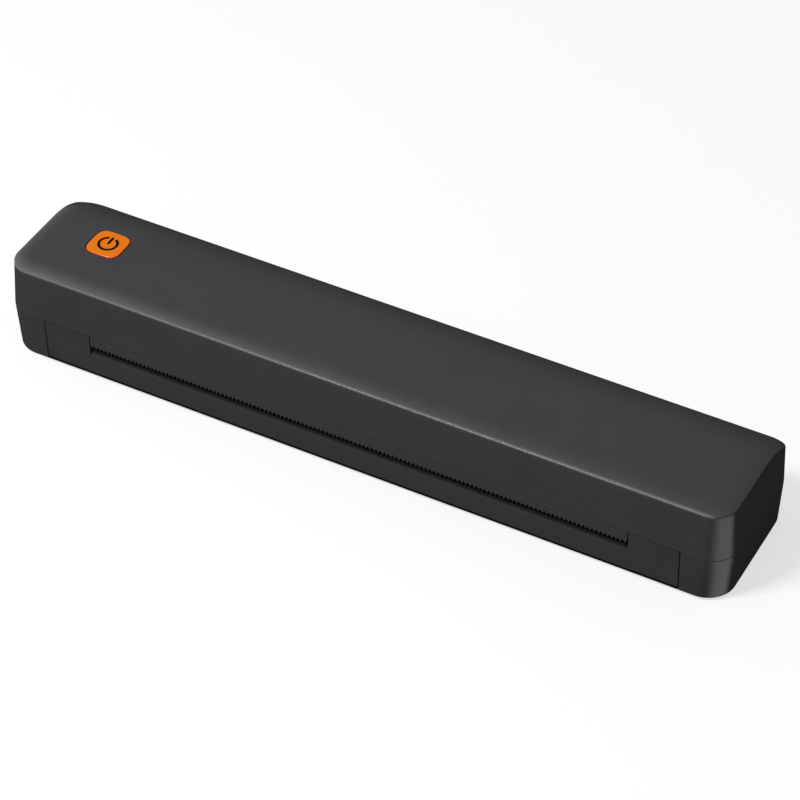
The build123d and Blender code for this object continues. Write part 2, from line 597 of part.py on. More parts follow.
def tear_bar():
    """Serrated bar: a blade in the paper slot, a step under the shell and a flange up its front wall."""
    top = PARTING_Z - TEAR_SEAM
    step = top - TEAR_THICKNESS
    flange = PARTING_Z + TEAR_FLANGE
    inner, inner_top = front_y(PARTING_Z) + WALL, front_y(flange) + WALL
    tip_y = front_y(TEAR_TIP_Z)
    section = yz_polygon((tip_y, TEAR_TIP_Z), (front_y(top), top), (inner, top), (inner_top, flange),
                         (inner_top + TEAR_THICKNESS, flange), (inner + TEAR_THICKNESS, step),
                         (front_y(step) + TEAR_THICKNESS, step), (tip_y + TEAR_TIP_THICKNESS, TEAR_TIP_Z))
    half = SLOT_HALF - COVER_GAP
    bar = along_x(section, -half, half)
    count = floor(2 * half / TOOTH_PITCH)
    pitch = 2 * half / count
    teeth = [(-half, TEAR_TIP_Z + TOOTH_HEIGHT)]
    for i in range(count):
        x = -half + i * pitch
        teeth += [(x + pitch / 2, TEAR_TIP_Z), (x + pitch, TEAR_TIP_Z + TOOTH_HEIGHT)]
    keep = Polygon(*teeth, (half, flange + 1), (-half, flange + 1), align=None)
    bar &= extrude(Plane.XZ * keep, OUT_OF_CASE, both=True)
    for x, z in tear_screw_places():
        bar -= rod_y(TEAR_SCREW_RADIUS, front_y(z), front_y(z) + 2 * WALL, x, z)
    return bar


def tear_bar_screws():
    screws = []
    for x, z in tear_screw_places():
        wall = front_y(z) + WALL
        seat = wall + TEAR_THICKNESS + SHELL_FIT
        shank = rod_y(TEAR_SCREW_RADIUS, wall - TEAR_SCREW_BITE, seat, x, z)
        screws.append(shank + rod_y(2 * TEAR_SCREW_RADIUS, seat, seat + TEAR_SCREW_RADIUS, x, z))
    return screws


# ---------------------------------------------------------------- chassis and paper path
def chassis_screw_places():
    side, front, back = CHASSIS_SCREW_INSET
    ys = (GUIDE_FRONT_Y + front, CHASSIS_BACK_Y - back)
    return [(sx * (PLATE_X - side), y) for sx in (-1, 1) for y in ys]


def side_plate():
    """Right-hand side plate, as the sheet stands before its holes."""
    front = FLOOR_FRONT_Y + PLATE_INSET
    back = HEAD_PIVOT_Y + PLATE_BACK
    top = PLATE_TOP_Z
    back_down, back_in = PLATE_BACK_CORNER
    front_down, front_in = PLATE_FRONT_CORNER
    profile = yz_polygon((front, FLOOR_Z), (back, FLOOR_Z), (back, top - back_down), (back - back_in, top),
                         (front + front_in, top), (front, top - front_down))
    return along_x(fillet(profile.vertices().group_by(Axis.Y)[-1], 1.0), PLATE_X, PLATE_OUT)


def chassis_frame():
    """Sheet-steel tray with a side plate bent up at each end."""
    tray = block(-PLATE_OUT, PLATE_OUT, GUIDE_FRONT_Y, CHASSIS_BACK_Y, FLOOR_Z, CHASSIS_TOP)
    frame = tray + mirrored(side_plate())
    bush = rod_x(SHAFT_RADIUS + BUSH_WALL, -HALF, HALF, PLATEN_Y, PLATEN_Z)
    rod = rod_x(HEAD_ROD_RADIUS, -HALF, HALF, HEAD_PIVOT_Y, HEAD_PIVOT_Z)
    axle = rod_x(AXLE_RADIUS, 0, HALF, IDLER_Y, IDLER_Z)
    frame -= [bush, rod, axle]
    return frame - [post(SMALL_SCREW_RADIUS, 0, CREST_Z, x, y) for x, y in chassis_screw_places()]


def chassis_screws():
    return [post(SMALL_SCREW_RADIUS, FLOOR_Z - SMALL_SCREW_BITE, CHASSIS_TOP, x, y)
            + post(2 * SMALL_SCREW_RADIUS, CHASSIS_TOP, CHASSIS_TOP + SMALL_SCREW_HEAD, x, y)
            for x, y in chassis_screw_places()]


def paper_guide():
    """Lower floor of the paper path, ribbed along the feed and standing on two legs."""
    back = DEPTH / 2 - draft_at(GUIDE_TOP)[0][2] - WALL - MOVING_GAP
    plate = block(-PLATE_X, PLATE_X, GUIDE_FRONT_Y, back, GUIDE_TOP - GUIDE_PLATE, GUIDE_TOP)
    front = plate.edges().filter_by(Axis.X).group_by(Axis.Y)[0].sort_by(Axis.Z)[-1]
    plate = fillet(front, 0.8 * GUIDE_PLATE)
    screws = [y for _, y in chassis_screw_places()]
    leg_y0, leg_y1 = min(screws) + LEG_CLEARANCE, max(screws) - LEG_CLEARANCE
    leg = block(PLATE_X - GUIDE_LEG, PLATE_X, leg_y0, leg_y1, CHASSIS_TOP, GUIDE_TOP - GUIDE_PLATE)
    plate += mirrored(leg)
    count = int(PAPER_WIDTH / GUIDE_RIB_PITCH)
    rib_y0, rib_y1 = GUIDE_FRONT_Y + GUIDE_RIB_ENDS[0], back - GUIDE_RIB_ENDS[1]
    for x in spread(count, PAPER_WIDTH / 2):
        plate += block(x - RIB / 2, x + RIB / 2, rib_y0, rib_y1, GUIDE_TOP, GUIDE_TOP + GUIDE_RIB)
    return plate - sensor_body()


def sensor_body():
    length, width, height = SENSOR_SIZE
    y = GUIDE_FRONT_Y + SENSOR_INSET
    return block(SENSOR_X, SENSOR_X + length, y, y + width, GUIDE_TOP - height, GUIDE_TOP)


def upper_guide():
    """Roof of the paper path behind the head, spot-welded between the side plates."""
    z = GUIDE_TOP + UPPER_GUIDE_RISE
    back = DEPTH / 2 - draft_at(z)[0][2] - WALL - MOVING_GAP
    plate = block(-PLATE_X, PLATE_X, HEAD_PIVOT_Y + UPPER_GUIDE_START, back, z, z + SHEET)
    return plate + block(-PLATE_X, PLATE_X, back - SHEET, back, z + SHEET, z + 4 * SHEET)


# ---------------------------------------------------------------- platen and gear train
def platen_shaft():
    return rod_x(SHAFT_RADIUS, -PLATE_OUT - 3 * SHEET, GEAR_X + GEAR_WIDTH, PLATEN_Y, PLATEN_Z)


def platen_rubber():
    sleeve = rod_x(PLATEN_RADIUS, -PAPER_WIDTH / 2, PAPER_WIDTH / 2, PLATEN_Y, PLATEN_Z)
    return sleeve - rod_x(SHAFT_RADIUS, -HALF, HALF, PLATEN_Y, PLATEN_Z)


def platen_bush():
    """Flanged bush in the right-hand side plate."""
    outer = SHAFT_RADIUS + BUSH_WALL
    bush = rod_x(outer, PLATE_X - BUSH_WALL / 2, PLATE_OUT + BUSH_WALL, PLATEN_Y, PLATEN_Z)
    bush += rod_x(outer + BUSH_WALL, PLATE_OUT, PLATE_OUT + BUSH_WALL, PLATEN_Y, PLATEN_Z)
    return bush - rod_x(SHAFT_RADIUS + RUNNING_FIT, 0, HALF, PLATEN_Y, PLATEN_Z)


def involute(angle):
    return tan(angle) - angle


def gear(teeth, x0, x1, y, z, phase):
    """Involute spur gear along X with a tooth centred on the phase angle, measured from +Y towards +Z."""
    pitch = GEAR_MODULE * teeth / 2
    base = pitch * cos(PRESSURE_ANGLE)
    root = pitch - DEDENDUM * GEAR_MODULE
    tip = pitch + ADDENDUM * GEAR_MODULE
    radii = [root] + [base] * (base > root) + [pitch, tip]
    flank = []
    for radius in radii:
        roll = involute(acos(min(1.0, base / radius)))
        flank.append((radius, pi / (2 * teeth) + involute(PRESSURE_ANGLE) - roll - BACKLASH / (2 * pitch)))
    points = []
    for i in range(teeth):
        middle = phase + 2 * pi * i / teeth
        polar = [(radius, middle - half) for radius, half in flank]
        polar += [(radius, middle + half) for radius, half in reversed(flank)]
        points += [(y + radius * cos(angle), z + radius * sin(angle)) for radius, angle in polar]
    return along_x(yz_polygon(*points), x0, x1)


def platen_gear():
    wheel = gear(PLATEN_TEETH, GEAR_X, GEAR_X + GEAR_WIDTH, PLATEN_Y, PLATEN_Z, IDLER_DIRECTION)
    return wheel - rod_x(SHAFT_RADIUS, 0, HALF, PLATEN_Y, PLATEN_Z)


def idler_gear():
    """Two gears in one moulding: the small one drives the platen, the motor drives the large one."""
    small_phase = IDLER_DIRECTION + pi + pi / IDLER_SMALL_TEETH
    small = gear(IDLER_SMALL_TEETH, GEAR_X, IDLER_X, IDLER_Y, IDLER_Z, small_phase)
    large = gear(IDLER_LARGE_TEETH, IDLER_X, IDLER_X + PINION_WIDTH, IDLER_Y, IDLER_Z, MOTOR_DIRECTION)
    dish = DISH * GEAR_MODULE * IDLER_LARGE_TEETH / 2
    recess = rod_x(dish, IDLER_X + PINION_WIDTH - DISH_DEPTH, HALF, IDLER_Y, IDLER_Z)
    hub = rod_x(2 * AXLE_RADIUS, PLATE_OUT + MOVING_GAP, MOTOR_PLATE_X - MOVING_GAP, IDLER_Y, IDLER_Z)
    return small + (large - recess) + hub - rod_x(AXLE_RADIUS + RUNNING_FIT, 0, HALF, IDLER_Y, IDLER_Z)


def idler_axle():
    axle = rod_x(AXLE_RADIUS, PLATE_X - AXLE_END, MOTOR_PLATE_OUT + AXLE_END, IDLER_Y, IDLER_Z)
    return axle + rod_x(AXLE_RADIUS + BUSH_WALL, PLATE_X - AXLE_END, PLATE_X, IDLER_Y, IDLER_Z)


def motor_pinion():
    phase = MOTOR_DIRECTION + pi + pi / PINION_TEETH
    wheel = gear(PINION_TEETH, IDLER_X, IDLER_X + PINION_WIDTH, MOTOR_Y, MOTOR_Z, phase)
    return wheel - rod_x(MOTOR_SHAFT_RADIUS, 0, HALF, MOTOR_Y, MOTOR_Z)


def motor_shaft():
    seat = MOTOR_PLATE_OUT + MOTOR_SHAFT_SEAT
    return rod_x(MOTOR_SHAFT_RADIUS, IDLER_X - MOVING_GAP, seat, MOTOR_Y, MOTOR_Z)


def motor_screw_places():
    """Ear screws as (y, z), turned clear of the idler's axle."""
    reach = MOTOR_RADIUS + EAR_REACH
    return [(MOTOR_Y + side * reach * cos(EAR_DIRECTION), MOTOR_Z + side * reach * sin(EAR_DIRECTION))
            for side in (-1, 1)]


def bracket_screw_ys():
    return [MOTOR_Y + side * (MOTOR_RADIUS - 1.0) for side in (-1, 1)]


def bracket_screw_places():
    return [(MOTOR_PLATE_OUT + 2 * SHEET + BRACKET_PAD / 2, y) for y in bracket_screw_ys()]


def stepper_motor():
    """Round can on a flange with two ears."""
    ears = SlotOverall(2 * (MOTOR_RADIUS + EAR_REACH + EAR_RADIUS), 2 * EAR_RADIUS)
    ears = Pos(MOTOR_Y, MOTOR_Z) * Rot(0, 0, degrees(EAR_DIRECTION)) * ears
    flange = along_x(ears, MOTOR_PLATE_OUT, MOTOR_PLATE_OUT + MOTOR_FLANGE)
    can = rod_x(MOTOR_RADIUS, MOTOR_PLATE_OUT, MOTOR_PLATE_OUT + MOTOR_LENGTH, MOTOR_Y, MOTOR_Z)
    can = chamfer(can.edges().group_by(Axis.X)[-1], MOTOR_FLANGE)
    motor = can + flange
    seat = MOTOR_PLATE_OUT + MOTOR_SHAFT_SEAT + MOVING_GAP
    bore = rod_x(MOTOR_SHAFT_RADIUS + RUNNING_FIT, 0, seat, MOTOR_Y, MOTOR_Z)
    holes = [rod_x(SMALL_SCREW_RADIUS, 0, HALF, y, z) for y, z in motor_screw_places()]
    return motor - [bore] - holes


def motor_bracket():
    """Angle plate that carries the motor and the outer end of the idler's axle."""
    reach = MOTOR_RADIUS + BRACKET_MARGIN
    plate = block(MOTOR_PLATE_X, MOTOR_PLATE_OUT, MOTOR_Y - reach, MOTOR_Y + reach, CHASSIS_TOP,
                  MOTOR_Z + MOTOR_RADIUS + EAR_RADIUS)
    plate = fillet(plate.edges().filter_by(Axis.X).group_by(Axis.Z)[-1], BRACKET_CORNER)
    reach -= BRACKET_MARGIN / 3
    foot = block(MOTOR_PLATE_X, MOTOR_PLATE_OUT + BRACKET_FOOT, MOTOR_Y - reach, MOTOR_Y + reach,
                 CHASSIS_TOP, CHASSIS_TOP + SHEET)
    bracket = plate + foot
    bracket -= rod_x(AXLE_RADIUS, 0, HALF, IDLER_Y, IDLER_Z)
    bracket -= rod_x(2.5 * MOTOR_SHAFT_RADIUS, 0, HALF, MOTOR_Y, MOTOR_Z)
    bracket -= [rod_x(SMALL_SCREW_RADIUS, 0, HALF, y, z) for y, z in motor_screw_places()]
    return bracket - [post(SMALL_SCREW_RADIUS, 0, CREST_Z, x, y) for x, y in bracket_screw_places()]


def motor_screws():
    """Two through the motor's ears and two through the bracket's foot."""
    seat = MOTOR_PLATE_OUT + MOTOR_FLANGE
    ears = [rod_x(SMALL_SCREW_RADIUS, MOTOR_PLATE_X, seat, y, z)
            + rod_x(2 * SMALL_SCREW_RADIUS, seat, seat + SMALL_SCREW_HEAD, y, z)
            for y, z in motor_screw_places()]
    seat = CHASSIS_TOP + SHEET
    return ears + [post(SMALL_SCREW_RADIUS, FLOOR_Z - SMALL_SCREW_BITE, seat, x, y)
                   + post(2 * SMALL_SCREW_RADIUS, seat, seat + SMALL_SCREW_HEAD, x, y)
                   for x, y in bracket_screw_places()]


# ---------------------------------------------------------------- thermal head
def spring_xs():
    return spread(SPRING_COUNT, PLATE_X - GUIDE_LEG)


def spring_pocket(x):
    """Room for a spring between the fins of the heat sink."""
    half_x = SPRING_WIDTH / 2 + SPRING_POCKET
    half_y = BRIDGE_WIDTH / 2
    return block(x - half_x, x + half_x, BRIDGE_Y - half_y, BRIDGE_Y + half_y, BAR_TOP, CREST_Z)


def head_heat_sink():
    """Finned aluminium bar on lugs that swing on the pivot rod."""
    half = PLATE_X - 5 * MOVING_GAP
    front = PLATEN_Y - CERAMIC_FRONT - SINK_FRONT
    back = HEAD_PIVOT_Y - 2 * HEAD_ROD_RADIUS
    bar = block(-half, half, front, back, BAR_Z, BAR_TOP)
    for i in range(FIN_COUNT):
        y = front + FIN_PITCH * i
        bar += block(-half, half, y, y + FIN, BAR_TOP, BAR_TOP + FIN_HEIGHT)
    bar -= [spring_pocket(x) for x in spring_xs()]
    eye = 2 * HEAD_ROD_RADIUS
    lug_foot = BAR_TOP - HEAD_BAR_THICKNESS / 2
    for x in (-half, -LUG_LENGTH / 2, half - LUG_LENGTH):
        bar += block(x, x + LUG_LENGTH, back - FIN, HEAD_PIVOT_Y, lug_foot, HEAD_PIVOT_Z)
        bar += rod_x(eye, x, x + LUG_LENGTH, HEAD_PIVOT_Y, HEAD_PIVOT_Z)
    return bar - rod_x(HEAD_ROD_RADIUS + RUNNING_FIT, -HALF, HALF, HEAD_PIVOT_Y, HEAD_PIVOT_Z)


def head_ceramic():
    """Ceramic strip with the raised line of heaters over the platen."""
    half = PAPER_WIDTH / 2
    strip = block(-half, half, PLATEN_Y - CERAMIC_FRONT, PLATEN_Y + CERAMIC_BACK, CERAMIC_Z, BAR_Z)
    return strip + block(-half, half, PLATEN_Y - HEATER_HALF, PLATEN_Y + HEATER_HALF, HEATER_Z, CERAMIC_Z)


def head_board():
    y0 = PLATEN_Y + CERAMIC_BACK
    return block(-PAPER_WIDTH / 2, PAPER_WIDTH / 2, y0, y0 + HEAD_BOARD_WIDTH, CERAMIC_Z, BAR_Z)


def head_pivot_rod():
    reach = PLATE_OUT + AXLE_END
    return rod_x(HEAD_ROD_RADIUS, -reach, reach, HEAD_PIVOT_Y, HEAD_PIVOT_Z)


def spring_bridge():
    """Channel between the side plates that the head's springs push against."""
    y0 = BRIDGE_Y - BRIDGE_WIDTH / 2
    bridge = block(-PLATE_X, PLATE_X, y0, y0 + BRIDGE_WIDTH, BRIDGE_Z, BRIDGE_Z + SHEET)
    for y in (y0, y0 + BRIDGE_WIDTH - SHEET):
        bridge += block(-PLATE_X, PLATE_X, y, y + SHEET, BRIDGE_Z + SHEET, PLATE_TOP_Z)
    return bridge


def head_springs():
    """C-shaped leaf springs between the heat sink and the bridge."""
    low, high = BAR_TOP + RUNNING_FIT, BRIDGE_Z - RUNNING_FIT
    radius = (high - low) / 2
    y0 = BRIDGE_Y - (radius + SPRING_ARM) / 2
    bend_y = y0 + SPRING_ARM
    springs = []
    for x in spring_xs():
        x0, x1 = x - SPRING_WIDTH / 2, x + SPRING_WIDTH / 2
        inside = rod_x(radius - SPRING_SHEET, x0, x1, bend_y, low + radius)
        bend = rod_x(radius, x0, x1, bend_y, low + radius) - inside
        bend &= block(x0, x1, bend_y, bend_y + radius, low, high)
        lower_arm = block(x0, x1, y0, bend_y, low, low + SPRING_SHEET)
        springs.append(bend + lower_arm + block(x0, x1, y0, bend_y, high - SPRING_SHEET, high))
    return springs


# ---------------------------------------------------------------- electronics and controls
def main_board():
    x0 = board_end()
    board = block(x0, x0 + BOARD_LENGTH, -BOARD_WIDTH / 2, BOARD_WIDTH / 2, BOARD_Z, BOARD_TOP_Z)
    return board - [post(BOARD_SCREW_RADIUS, 0, CREST_Z, x, y) for x, y in board_screw_places()]


def board_parts():
    """Chips, coils, capacitors and connectors on both faces of the main board."""
    right = board_end() + BOARD_LENGTH
    parts = [block(right - x - a / 2, right - x + a / 2, y - b / 2, y + b / 2, BOARD_TOP_Z, BOARD_TOP_Z + h)
             for x, y, a, b, h in PARTS_ABOVE]
    return parts + [block(right - x - a / 2, right - x + a / 2, y - b / 2, y + b / 2, BOARD_Z - h, BOARD_Z)
                    for x, y, a, b, h in PARTS_BELOW]


def board_screws():
    return [post(BOARD_SCREW_RADIUS, BOARD_Z, BOARD_TOP_Z + BOARD_SCREW_REACH - SHELL_FIT, x, y)
            + post(2 * BOARD_SCREW_RADIUS, BOARD_Z - SMALL_SCREW_HEAD, BOARD_Z, x, y)
            for x, y in board_screw_places()]


def power_button():
    """Cap with a retaining flange under the shell and a stem down to the switch."""
    crown_inside = CREST_Z - WALL
    top = CREST_Z + BUTTON_PROUD
    flange_top = crown_inside - MOVING_GAP
    cap = extrude(squircle(BUTTON_SIZE, flange_top), top - flange_top)
    cap = fillet(cap.edges().group_by(Axis.Z)[-1], BUTTON_EDGE)
    cap += extrude(squircle(BUTTON_SIZE + 3 * BUTTON_FLANGE, flange_top - BUTTON_FLANGE), BUTTON_FLANGE)
    stem_z = BOARD_TOP_Z + SWITCH_HEIGHT + BUTTON_TRAVEL + RUNNING_FIT
    return cap + post(1.5 * PLUNGER_RADIUS, stem_z, flange_top, BUTTON_X, BUTTON_Y)


def tact_switch():
    half = SWITCH_SIZE / 2
    body = block(BUTTON_X - half, BUTTON_X + half, BUTTON_Y - half, BUTTON_Y + half, BOARD_TOP_Z,
                 BOARD_TOP_Z + SWITCH_HEIGHT)
    return body - post(PLUNGER_RADIUS + RUNNING_FIT, BOARD_TOP_Z + MOVING_GAP, CREST_Z, BUTTON_X, BUTTON_Y)


def switch_plunger():
    z1 = BOARD_TOP_Z + SWITCH_HEIGHT + BUTTON_TRAVEL + RUNNING_FIT
    return post(PLUNGER_RADIUS, BOARD_TOP_Z + 2 * MOVING_GAP + BUTTON_TRAVEL, z1, BUTTON_X, BUTTON_Y)


def usb_socket():
    """Socket shell with its tongue, open at the end wall."""
    x0 = usb_mouth()
    back = x0 + USB_DEPTH
    z = usb_z()
    shell = along_x(Pos(0, z) * SlotOverall(USB_WIDTH, USB_HEIGHT), x0, back)
    well = SlotOverall(USB_WIDTH - 2 * USB_WALL, USB_HEIGHT - 2 * USB_WALL)
    shell -= along_x(Pos(0, z) * well, x0 - USB_WALL, back - USB_WALL)
    width, thickness, step = USB_TONGUE
    low = z - thickness / 2
    return shell + block(x0 + step, back - USB_WALL, -width / 2, width / 2, low, low + thickness)


def charge_light():
    """Light pipe from the lamp under the board to the end wall."""
    x0 = -end_x(usb_z())
    x1 = x0 + LIGHT_LENGTH
    y0, y1 = LIGHT_OFFSET - LIGHT_RADIUS, LIGHT_OFFSET + LIGHT_RADIUS
    pipe = rod_x(LIGHT_RADIUS, x0, x1, LIGHT_OFFSET, usb_z())
    return pipe + block(x1 - 2 * LIGHT_RADIUS, x1, y0, y1, usb_z(), BOARD_Z)


def battery_cells():
    """Two flat lithium cells on the chassis tray, under the paper guide."""
    x0, x1 = CELL_APART / 2, PLATE_X - GUIDE_LEG - CELL_END_ROOM
    y0, y1 = GUIDE_FRONT_Y + CELL_FRONT_ROOM, CHASSIS_BACK_Y - CELL_BACK_ROOM
    cell = block(x0, x1, y0, y1, CHASSIS_TOP, CHASSIS_TOP + CELL_THICKNESS)
    return mirrored(fillet(cell.edges().filter_by(Axis.X), CELL_CORNER))


SUB_PARTS = {
    "upper_shell": upper_shell, "base_shell": base_shell, "rubber_feet": rubber_feet,
    "case_screws": case_screws,
    "front_cover": front_cover, "cover_magnets": lambda: mirrored(cover_magnet()),
    "catch_plates": lambda: mirrored(catch_plate()), "hinge_pins": lambda: mirrored(hinge_pin()),
    "tear_bar": tear_bar, "tear_bar_screws": tear_bar_screws, "chassis_frame": chassis_frame,
    "chassis_screws": chassis_screws, "paper_guide": paper_guide, "paper_sensor": sensor_body,
    "upper_guide": upper_guide, "platen_shaft": platen_shaft, "platen_rubber": platen_rubber,
    "platen_bushes": lambda: mirrored(platen_bush()), "platen_gear": platen_gear, "idler_gear": idler_gear,
    "idler_axle": idler_axle, "motor_pinion": motor_pinion, "motor_shaft": motor_shaft,
    "stepper_motor": stepper_motor, "motor_bracket": motor_bracket, "motor_screws": motor_screws,
    "head_heat_sink": head_heat_sink, "head_ceramic": head_ceramic, "head_board": head_board,
    "head_pivot_rod": head_pivot_rod, "spring_bridge": spring_bridge, "head_springs": head_springs,
    "main_board": main_board, "board_parts": board_parts, "board_screws": board_screws,
    "power_button": power_button, "tact_switch": tact_switch, "switch_plunger": switch_plunger,
    "usb_socket": usb_socket, "charge_light": charge_light, "battery_cells": battery_cells,
}

os.makedirs("parts", exist_ok=True)
for name, build in SUB_PARTS.items():
    shape = build()
    export_step(Compound(children=list(shape)) if isinstance(shape, list) else shape, f"parts/{name}.step")
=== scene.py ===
"""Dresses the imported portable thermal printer: moulded case, front cover, tear bar, orange power button,
screws and the finishes of everything inside. Metres, +Z up, -Y towards the paper exit."""

from math import atan2, cos, hypot, pi, radians, sin

import bmesh
import bpy
from bpy.props import FloatProperty, FloatVectorProperty, IntProperty, PointerProperty
from mathutils import Matrix, Vector


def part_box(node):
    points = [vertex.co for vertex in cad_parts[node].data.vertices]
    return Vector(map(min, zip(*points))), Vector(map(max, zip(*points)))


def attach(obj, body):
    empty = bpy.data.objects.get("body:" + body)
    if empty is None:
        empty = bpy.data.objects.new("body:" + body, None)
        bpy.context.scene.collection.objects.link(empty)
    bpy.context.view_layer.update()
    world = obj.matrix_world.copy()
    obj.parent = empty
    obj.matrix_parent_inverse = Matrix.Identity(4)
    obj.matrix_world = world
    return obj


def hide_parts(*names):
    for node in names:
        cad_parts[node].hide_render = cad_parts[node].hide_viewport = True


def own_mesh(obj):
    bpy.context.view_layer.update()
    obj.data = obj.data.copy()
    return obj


bl_info = {
    "name": "Portable A4 printer",
    "version": (1, 0, 0),
    "blender": (4, 5, 0),
    "location": "3D View > Sidebar > Printer",
    "description": "Builds the visible pieces and finishes of a portable A4 thermal printer",
    "category": "Object",
}

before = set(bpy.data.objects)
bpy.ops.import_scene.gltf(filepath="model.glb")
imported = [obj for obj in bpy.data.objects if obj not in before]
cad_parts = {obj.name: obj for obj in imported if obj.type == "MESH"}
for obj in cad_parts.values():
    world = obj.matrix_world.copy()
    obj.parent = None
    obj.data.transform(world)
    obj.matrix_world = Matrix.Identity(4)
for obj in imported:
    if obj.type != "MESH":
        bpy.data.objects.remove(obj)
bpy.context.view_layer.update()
MM = 0.001


# ---------------- settings
def number(name, description, default, **kind):
    return FloatProperty(name=name, description=description, default=default, **kind)


def length(name, description, default):
    return number(name, description, default * MM, subtype="DISTANCE", unit="LENGTH")


def angle(name, description, default):
    return number(name, description, radians(default), subtype="ANGLE", unit="ROTATION")


def colour(name, description, default):
    return FloatVectorProperty(name=name, description=description, default=default, size=3, subtype="COLOR",
                               min=0.0, max=1.0)


class PrinterCaseSizes(bpy.types.PropertyGroup):
    length: length("Length", "Case over the ends at the parting line", 292.0)
    depth: length("Depth", "Case front to back at the parting line", 56.8)
    parting: length("Parting line", "Height of the seam between the two shells", 19.8)
    edge_rise: length("Edge rise", "Parting line to the crisp edge round the top", 19.9)
    crown: length("Crown", "Crisp edge up to the flat of the top", 1.2)
    back_drop: length("Back drop", "Flat of the top down to the back edge", 8.9)
    back_start: length("Back roll", "Where the top starts to fall to the back", 6.0)
    roll: length("Edge roll", "Width of the soft roll along the front and the ends", 8.7)
    roll_power: number("Roll power", "How late the roll gathers speed", 2.3)
    wall: length("Wall", "Thickness of the shell", 2.0)
    edge_radius: length("Edge radius", "Rounding of the crisp edge", 0.7)
    seam_radius: length("Seam radius", "Rounding of the parting edges and the holes", 0.16)
    seam_gap: length("Seam gap", "Shadow line between the two shells", 0.3)


class PrinterButtonSizes(bpy.types.PropertyGroup):
    x: length("X", "Centre of the button along the case", -116.45)
    y: length("Y", "Centre of the button across the case", -0.75)
    size: length("Size", "Side to side", 13.8)
    proud: length("Proud", "Top of the button over the flat of the case", 0.35)
    edge: length("Edge", "Rounding of the top edge", 0.5)
    gap: length("Gap", "Shadow line round the button", 0.45)
    mark_radius: length("Mark radius", "Middle of the ring of the power mark", 3.5)
    mark_stroke: length("Mark stroke", "Width of the power mark's lines", 1.1)


class PrinterTearSizes(bpy.types.PropertyGroup):
    tip: length("Tip", "Height of the tooth tips", 14.8)
    tooth: length("Tooth", "Height of a tooth", 1.3)
    thickness: length("Thickness", "Thickness of the bar", 1.0)
    tip_thickness: length("Tip thickness", "Thickness at the tooth tips", 0.35)
    flange: length("Flange", "Bar above the parting line, behind the wall", 6.0)
    seam: length("Seam", "Top of the bar below the parting line", 0.15)
    half: length("Half length", "Middle to one end", 108.7)
    teeth: IntProperty(name="Teeth", description="Teeth along the bar", default=131, min=2)


class PrinterColours(bpy.types.PropertyGroup):
    case: colour("Case", "Charcoal case plastic", (0.054, 0.054, 0.057))
    cover: colour("Cover", "Front cover plastic", (0.052, 0.052, 0.055))
    button: colour("Button", "Orange button plastic", (0.72, 0.165, 0.004))
    # Painted shade: the darker, redder colour of the button's flank.
    button_flank_shade: colour("Button flank shade", "Flank of the button", (0.48, 0.035, 0.001))
    mark: colour("Mark", "Printed power mark", (0.004, 0.004, 0.004))
    tear: colour("Tear bar", "Dark coat of the tear bar", (0.052, 0.052, 0.055))
    rubber: colour("Rubber", "Feet", (0.016, 0.016, 0.016))
    platen: colour("Platen", "Silicone of the platen", (0.022, 0.022, 0.023))
    floor: colour("Floor", "Pale floor", (0.36, 0.36, 0.36))
    bounce: colour("Bounce", "Floor as it lights the object", (0.23, 0.23, 0.23))


class PrinterStageSizes(bpy.types.PropertyGroup):
    camera: FloatVectorProperty(name="Camera", description="Where the camera stands", size=3,
                                subtype="TRANSLATION", unit="LENGTH", default=(0.40236, -0.74031, 0.76622))
    azimuth: angle("Azimuth", "Turn of the camera", 28.21)
    elevation: angle("Elevation", "Height of the camera's view", 41.81)
    lens: number("Lens", "Focal length in millimetres on a 36 mm sensor", 140.64)
    key: number("Key lamp", "Power of the lamp in front, watts", 15.4)
    back: number("Back lamp", "Power of the lamp behind, watts", 0.2)
    sky: number("Sky", "Strength of the even light all round", 0.34)
    lift: number("Floor lift", "Glow of the floor as the camera sees it", 0.65)


def set_up(thing, **settings):
    """Sets the properties of a node, modifier, lamp or camera by name."""
    for name, value in settings.items():
        setattr(thing, name, value)
    return thing


# ---------------- node trees
def add(tree, kind, inputs=(), **settings):
    """New node with its settings and a list of (input name or number, value or output)."""
    node = set_up(tree.nodes.new(kind), **settings)
    for key, value in inputs:
        if isinstance(value, bpy.types.NodeSocket):
            tree.links.new(value, node.inputs[key])
        else:
            node.inputs[key].default_value = value
    return node


def maths(tree, operation, *values):
    return add(tree, "ShaderNodeMath", list(enumerate(values)), operation=operation).outputs[0]


def ranged(tree, value, low, high, to_low=0.0, to_high=1.0, soft=False):
    """A range of a value turned into another range, which holds outside it; soft eases in and out."""
    return add(tree, "ShaderNodeMapRange", [
        ("Value", value), ("From Min", low), ("From Max", high), ("To Min", to_low), ("To Max", to_high)],
        interpolation_type="SMOOTHSTEP" if soft else "LINEAR").outputs[0]


def between(tree, value, start, full, end, gone):
    """1 between two values and 0 outside two wider ones, with soft slopes."""
    return maths(tree, "MULTIPLY", ranged(tree, value, start, full, soft=True),
                 ranged(tree, value, end, gone, 1.0, 0.0, soft=True))


def vector(tree, x=0.0, y=0.0, z=0.0):
    return add(tree, "ShaderNodeCombineXYZ", [(0, x), (1, y), (2, z)]).outputs[0]


def place_of(tree):
    """The point on the piece in its own coordinates."""
    return add(tree, "ShaderNodeTexCoord").outputs["Object"]


def axes_of(tree):
    return add(tree, "ShaderNodeSeparateXYZ", [(0, place_of(tree))]).outputs


def mixed(tree, factor, first, second, blend="MIX"):
    return add(tree, "ShaderNodeMix", [(0, factor), (6, first), (7, second)], data_type="RGBA",
               blend_type=blend).outputs[2]


